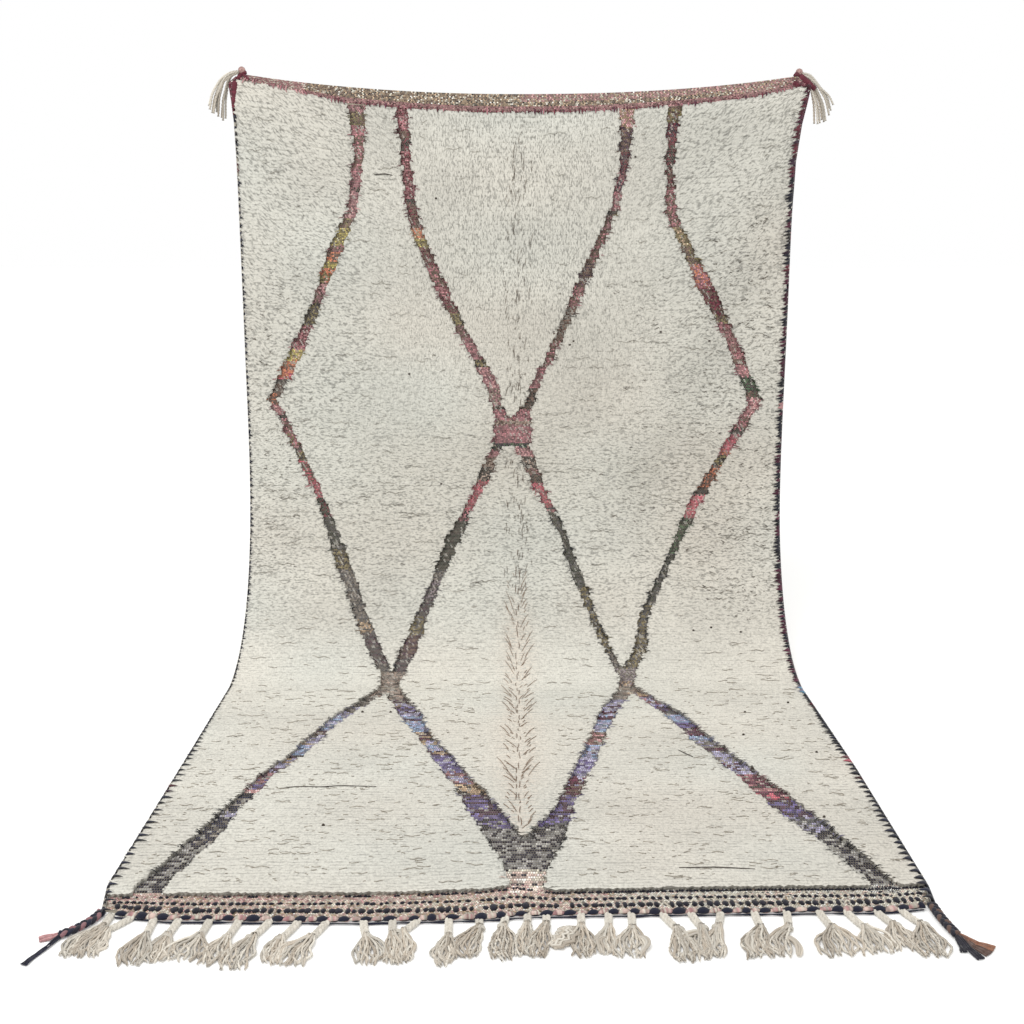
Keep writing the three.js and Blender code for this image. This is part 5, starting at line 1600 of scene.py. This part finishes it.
def side_cord(sign, name, stands_for):
    shape = Shape()
    first = float(bowed(HEADER, sign * HALF_WIDTH))
    last = float(read(FOOT, sign * HALF_WIDTH, 2))
    step = SIDE["wrap"] / SIDE["steps"]
    down = np.arange(first, last, step)
    middle = place(sign * HALF_WIDTH, down, 5.5)
    middle[:, 0] += sign * (CLEARANCE + SIDE["half"][sign]) * MM
    wrap = np.cos(2 * math.pi * down / SIDE["wrap"])
    fat = SIDE["half"][sign] * (0.93 + 0.07 * wrap)
    fat = fat * (1 + SIDE_THICKER["part"] * np.exp(-down / SIDE_THICKER["fades"]))
    rings = ringed(middle[None], (0, -1, 0.35), fat, fat * 0.98, 7)
    tints = side_tints(sign, down, np.floor(down / SIDE["wrap"]))
    # Painted shade: the wound yarn darker in the groove between turns and lighter on each turn's crest
    tints = tints * (0.75 + 0.25 * (wrap[:, None] * 0.5 + 0.5))
    add_tubes(shape, rings, tints[None, :, None, :])
    add_side_teeth(shape, sign, first, last)
    return shape.build(name, DARK_WOOL, "overcast", replaces=(stands_for,))


def add_side_teeth(shape, sign, first, last):
    """Stitches of the overcasting that reach over the pile's edge, wide at the edge, tapering inwards."""
    kind = SIDE_TEETH[sign]
    places = [first + 6.0]
    while places[-1] < last - 12.0:
        wider = (kind["floor_pitch"] - kind["pitch"]) * float(teeth_lie(places[-1]))
        places.append(places[-1] + kind["pitch"] + wider)
    places = np.array(places)
    chance = scatter(np.arange(len(places)), sign, 177)
    places = places[chance > kind["left_out"] * (1 - smooth((places - 1000.0) / 500.0))]
    k = np.arange(len(places))
    lower = teeth_lie(places)
    down = places + (scatter(k, sign, 171) - 0.5) * kind["pitch"] * 0.5
    deep = blend(kind["least"], kind["most"], scatter(k, sign, 172) ** 1.3)
    deep = deep + (kind["floor_reach"] - deep) * lower * (0.4 + 0.8 * scatter(k, sign, 175))
    half = kind["half"] * (0.75 + 0.5 * scatter(k, sign, 176)) * (1 + 0.5 * lower)
    rings = []
    for inward, out, size in SIDE_TOOTH:
        if inward < 0:
            across = np.full(len(k), sign * (HALF_WIDTH - 2 * SIDE["half"][sign] * inward))
        else:
            across = sign * (HALF_WIDTH + 1 - deep * inward)
        below = down + 2.5 * max(inward, 0.0)
        rings.append(section(across, below, out, half * size, 1.5 * min(1.0, size), 6))
    tints = yarn_tints(SIDE_YARN[sign], down, k, k * 0, 176 + sign, TOOTH_LIGHT, 0.0)
    add_tubes(shape, np.stack(rings, axis=1), tints[:, None, None, :])


# The yarn ends that stick out of the lines' edges

# Where they start and end down the cloth, the share of rows that have one, and the pile that each needs
YARN_ENDS = {"from": 60, "to": 2690, "share": 0.24, "clear": 10.0}
# An end's sections: the share of its reach (below 0, how far inside the line), the share of its fall, how
# far out of the back, and half its thickness
YARN_END = ((-5.0, 0.0, 8.0, 1.6), (0.0, 0.3, 14.0, 1.7), (0.5, 0.6, 17.0, 1.3), (1.0, 1.0, 16.6, 0.5))


def line_teeth():
    shape = Shape()
    every = np.arange(math.ceil(YARN_ENDS["from"] / WEFT), math.floor(YARN_ENDS["to"] / WEFT))
    for k, (line, runs) in enumerate(LINES):
        for side, sign in ((0, -1), (1, 1)):
            row = every[scatter(every, 2 * k + side, 181) < YARN_ENDS["share"]]
            down = (row + 0.5) * WEFT
            edge = line_edges(line, down, 0.0, k)[side]
            outside = lattice(edge + sign * YARN_ENDS["clear"], down) == 0
            down, row, edge = chosen(outside, down, row, edge)
            reach = 3.0 + 10.0 * scatter(row, 2 * k + side, 182) ** 2.5
            fall = 1.0 + 4.0 * scatter(row, 2 * k + side, 183)
            rings = []
            for share, drop, out, thick in YARN_END:
                across = edge + sign * (share if share < 0 else reach * share)
                rings.append(section(across, down + fall * drop, out, thick, thick * 0.7, 3))
            tints = yarn_tints(runs, down, row, row * 0 + side, 190 + k, YARN_END_PAINTED_SHADE, 0.0)
            add_tubes(shape, np.stack(rings, axis=1), tints[:, None, None, :])
    return shape.build("lattice_yarn_ends", WOVEN_WOOL, "weave")


# The corner braids

CORNER_LEFT = ((-727, 2782), (-728, 2792), (-737, 2815), (-756, 2842), (-774, 2856))
CORNER_RIGHT = ((732, 2760), (732, 2770), (733, 2800), (737, 2830), (742, 2856))
CORNER_TAILS = {
    "corner_braid_left": (
        (((-768, 2850), (-786, 2856), (-806, 2865)), 8, "pink", 7.0),
        (((-770, 2852), (-784, 2888), (-794, 2912), (-803, 2938)), 5, "navy", 3.5),
    ),
    "corner_braid_right": (
        (((740, 2850), (764, 2874), (790, 2894)), 7, "russet", 6.0),
        (((740, 2850), (757, 2882), (777, 2908)), 7, "brown", 6.0),
        (((740, 2850), (748, 2885), (757, 2922)), 5, "black", 5.0),
        (((740, 2850), (739, 2880), (738, 2902)), 4, "black", 4.0),
    ),
}


CORNER_YARN = {"steps": 20, "thick": 2.3, "thin": 1.4, "turn": 6.0, "low": 2.4, "lifts": 5.0, "wave": 1.2}


def corner(name, route, yarns):
    shape = Shape()
    rows = curve(route, 32)
    tints = [linear(YARN[yarn]) for yarn in yarns]
    add_plait(shape, rows[:, 0], rows[:, 1], CORNER_PLAIT, tints)
    for tail, (path, count, yarn, spread) in enumerate(CORNER_TAILS[name]):
        middle = curve(path, CORNER_YARN["steps"])
        ahead = unit(np.gradient(middle, axis=0))
        side = np.stack([ahead[:, 1], -ahead[:, 0]], axis=1)
        t = np.linspace(0.0, 1.0, CORNER_YARN["steps"])
        lines = []
        for k in range(count):
            chance = float(scatter(k, tail, 201))
            offset = spread * (2 * (k + 0.5) / count - 1) * (0.5 + 0.9 * t)
            offset = offset + CORNER_YARN["wave"] * np.sin(7 * t + 6 * chance) * t
            lift = CORNER_YARN["lifts"] * float(scatter(k, tail, 202))
            out = CORNER_YARN["low"] + lift * (1 - smooth(t * 1.4))
            cut = middle + side * offset[:, None]
            lines.append(floor_place(cut[:, 0], cut[:, 1], out))
        spin = t * CORNER_YARN["turn"]
        rings = ringed(np.stack(lines), UP, CORNER_YARN["thick"], CORNER_YARN["thin"], 4, turns=spin)
        shade = 0.8 + 0.5 * scatter(np.arange(count), tail, 203)
        add_tubes(shape, rings, by_strand(linear(YARN[yarn]), shade))
    return shape.build(name.replace("braid", "plait"), DARK_WOOL, "corner_wool", replaces=(name,))


# The tassels at the pinned corners

TASSELS = {
    "tassel_top_left": {
        "knob": (-724, -7, 60), "over": ((-733, -11, 54), (-758, -14, 50), (-782, -14, 36)),
        "ends": (
            (-816, -6, -30), (-812, -15, -40), (-808, -6, -48), (-802, -16, -50), (-796, -6, -46),
            (-790, -16, -58), (-783, -7, -60), (-778, -15, -68), (-773, -6, -62), (-799, -11, -36),
        ),
        "wraps": (
            (((-724, -6, 52), (-730, -10, 44), (-740, -14, 32)), 7.0),
            (((-741, -16, 34), (-744, -16, 10), (-748, -16, -36)), 10.0),
            (((-722, -7, 50), (-714, -12, 44), (-704, -16, 36)), 4.5),
        ),
    },
    "tassel_top_right": {
        "knob": (749, -7, 55), "over": ((757, -11, 49), (775, -15, 46), (800, -14, 22)),
        "ends": (
            (796, -6, -75), (803, -15, -77), (811, -6, -74), (819, -16, -72), (826, -7, -68),
            (832, -16, -55), (838, -7, -42), (842, -14, -28), (815, -11, -66), (830, -10, -36),
        ),
        "wraps": (
            (((749, -8, 46), (768, -14, 28), (792, -14, 12)), 13.0),
            (((732, -16, 30), (748, -18, 16), (766, -18, 0)), 9.0),
            (((768, -17, 14), (765, -17, -18), (760, -16, -56)), 10.0),
        ),
    },
}


# A tassel's cords, with the turns of their twist; the yarns of its neck; and its knob's half size
CORD = {"steps": 30, "thick": 3.5, "thin": 2.1, "turns": 8}
NECK = {"yarns": 4, "spread": 3.6, "thick": 3.2}
KNOB_HALF = 9.4


def top_tassel(name):
    """A wound knob on the corner, a wine roll below it, and cords that arch over and hang down."""
    row = TASSELS[name]
    shape = Shape()
    knob = np.array(row["knob"], float)
    outward = float(np.sign(knob[0]))
    foot_point = place(outward * HALF_WIDTH, 0.0, CLOTH / 2) / MM - np.array([outward * 4, 0, 0])
    neck = (foot_point + (0, 0, 1), foot_point + (0, 0, 5), knob - (0, 0, 8))
    add_bundle(shape, curve(neck, 12), NECK["yarns"], NECK["spread"], NECK["thick"], "wine", 211)
    add_knob(shape, knob, KNOB_HALF)
    for route, half in row["wraps"]:
        add_wraps(shape, route, half)
    ends = np.array(row["ends"], float)
    over = np.array(row["over"], float)
    nearest, furthest = np.abs(ends[:, 0]).min(), np.abs(ends[:, 0]).max()
    lines = []
    for k, end in enumerate(ends):
        share = k / (len(ends) - 1) - 0.5
        shift = np.array([3.0 * np.cos(k * 2.1), 3.0 * np.sin(k * 3.3), 4.0 * np.cos(k * 1.3)])
        inner = 1 - (abs(end[0]) - nearest) / (furthest - nearest)
        mid = over[2] + shift + np.array([-outward * 24 * inner, 0, 4 * share - 4 * inner])
        low = np.array([(mid[0] + 2 * end[0]) / 3 + outward * 2, end[1], (mid[2] + end[2]) / 2])
        top = over[1] + shift - (outward * 9 * inner, 0, 0)
        lines.append(curve((over[0] + shift * 0.7, top, mid, low, end), CORD["steps"]))
    spin = np.linspace(0.0, 1.0, CORD["steps"]) * 2 * math.pi * CORD["turns"]
    rings = ringed(np.stack(lines) * MM, FORWARD, CORD["thick"], CORD["thin"], 6, turns=spin)
    cord = np.arange(len(ends))
    shade = 0.62 + 0.42 * scatter(cord, int(outward), 213)
    add_tubes(shape, rings, by_strand(warp_tints(cord, int(outward), 214), shade))
    return shape.build(name.replace("tassel_top", "top_tassel_yarn"), WARP_WOOL, "tassel", replaces=(name,))


def add_wraps(shape, route, half):
    """A short roll wound with wine yarn."""
    middle = curve(route, 25)
    t = np.arange(25)
    fat = half * (1 - 0.45 * (t / 24) ** 2) * (0.92 + 0.08 * np.cos(t * math.pi)) * smooth((t + 2) / 5)
    rings = ringed(middle[None] * MM, FORWARD, fat, fat * 0.8, 10)
    shade = 0.75 + 0.5 * scatter(t // 2, int(route[0][0]), 216)
    add_tubes(shape, rings, (linear(YARN["wine"])[None, :] * shade[:, None])[None, :, None, :])


def add_bundle(shape, middle, count, spread, thick, yarn, seed):
    """A few yarns laid round a line in millimetres, turning about it."""
    steps = len(middle)
    lines = []
    ahead = unit(np.gradient(middle, axis=0))
    side = unit(np.cross(ahead, (0.0, -1.0, 0.0)))
    above = np.cross(side, ahead)
    t = np.arange(steps)
    for k in range(count):
        angle = 2 * math.pi * k / count + t * 0.35
        lines.append(middle + spread * (np.cos(angle)[:, None] * side + np.sin(angle)[:, None] * above))
    lines = np.stack(lines) * MM
    rings = ringed(lines, FORWARD, thick, thick, 6)
    add_tubes(shape, rings, by_strand(linear(YARN[yarn]), 0.8 + 0.4 * scatter(np.arange(count), 0, seed)))


# The knob's rings of yarn: how many, the angle from one to the next, how thick, how far in they lie
KNOB = {"turns": 11, "apart": 2.4, "thick": 2.3, "set_in": 2.2, "tint": (168, 136, 130)}


def add_knob(shape, middle, radius):
    """A ball of wound yarn: rings of yarn about axes that turn from one to the next."""
    angle = np.linspace(0.0, 2 * math.pi, 25)[:-1]
    for k in range(KNOB["turns"]):
        up = (k + 0.5) / KNOB["turns"]
        round_by = k * KNOB["apart"]
        level = math.sqrt(1 - up * up)
        normal = np.array([level * math.cos(round_by), level * math.sin(round_by), up])
        axis_a = unit(np.cross(normal, np.array([0.2, 0.5, -0.84])))
        axis_b = np.cross(normal, axis_a)
        ring = np.cos(angle)[:, None] * axis_a + np.sin(angle)[:, None] * axis_b
        points = middle + (radius - KNOB["set_in"]) * ring
        tint = linear(KNOB["tint"]) * (0.6 + 0.7 * float(scatter(k, 3, 221)))
        add_loop(shape, points, middle, np.cross(axis_a, axis_b), KNOB["thick"], 6, tint, MM)


# The floor, the light and the eye

WHITE = (1.0, 1.0, 1.0, 1.0)
PAPER = {
    "Base Color": (0.9, 0.9, 0.89, 1.0), "Roughness": 0.9, "Specular IOR Level": 0.1,
    "Emission Color": WHITE, "Emission Strength": 0.12,
}


SOFT_BOX = {"wide": 2.6, "tall": 1.6, "watts": 90.0, "at": (-1.2, -2.6, 2.6), "towards": (0.0, -0.3, -0.9)}


def stage():
    paper, tree, shader = plain("floor_paper")
    feed(tree, shader, PAPER)
    bpy.ops.mesh.primitive_plane_add(size=120.0, location=(0.0, -1.0, (FLOOR - 0.6) * MM))
    floor = bpy.context.active_object
    floor.name = "floor"
    floor.data.materials.append(paper)

    world = bpy.data.worlds.new("studio")
    bpy.context.scene.world = world
    world.use_nodes = True
    feed(world.node_tree, world.node_tree.nodes["Background"], {"Color": WHITE, "Strength": 1.0})

    lamp = bpy.data.lights.new("soft_box", "AREA")
    lamp.shape = "RECTANGLE"
    lamp.size = SOFT_BOX["wide"]
    lamp.size_y = SOFT_BOX["tall"]
    lamp.energy = SOFT_BOX["watts"]
    holder = bpy.data.objects.new("soft_box", lamp)
    holder.location = SOFT_BOX["at"]
    bpy.context.scene.collection.objects.link(holder)
    aim(holder, SOFT_BOX["towards"])


def aim(thing, target):
    ahead = np.array(target) - np.array(thing.location)
    flat = math.hypot(ahead[0], ahead[1])
    thing.rotation_euler = (math.pi / 2 + math.atan2(ahead[2], flat), 0.0, math.atan2(-ahead[0], ahead[1]))


def camera():
    data = bpy.data.cameras.new("eye")
    data.sensor_width = SENSOR
    data.lens = LENS
    holder = bpy.data.objects.new("eye", data)
    holder.location = EYE
    holder.rotation_euler = (math.radians(90.0 - EYE_DOWN), 0.0, 0.0)
    bpy.context.scene.collection.objects.link(holder)
    bpy.context.scene.camera = holder
    bpy.context.scene.view_settings.view_transform = "Standard"


camera()
stage()

ground = cloth()
pile_pieces = pile()
parting_piece = partings(parting_lines())
bank_piece = bank()
line_piece = lattice_weave()
ends_piece = line_teeth()
header_piece = header()
foot_piece = foot()
edge_piece = twined_edge()
braid_piece = braids()
knot_piece = knots()
tail_piece = tails()
side_cord(-1, "side_cord_left", "selvedge_left")
side_cord(1, "side_cord_right", "selvedge_right")
corner("corner_braid_left", CORNER_LEFT, ("navy", "black", "mauve"))
corner("corner_braid_right", CORNER_RIGHT, ("black", "brown", "black"))
top_tassel("tassel_top_left")
top_tassel("tassel_top_right")
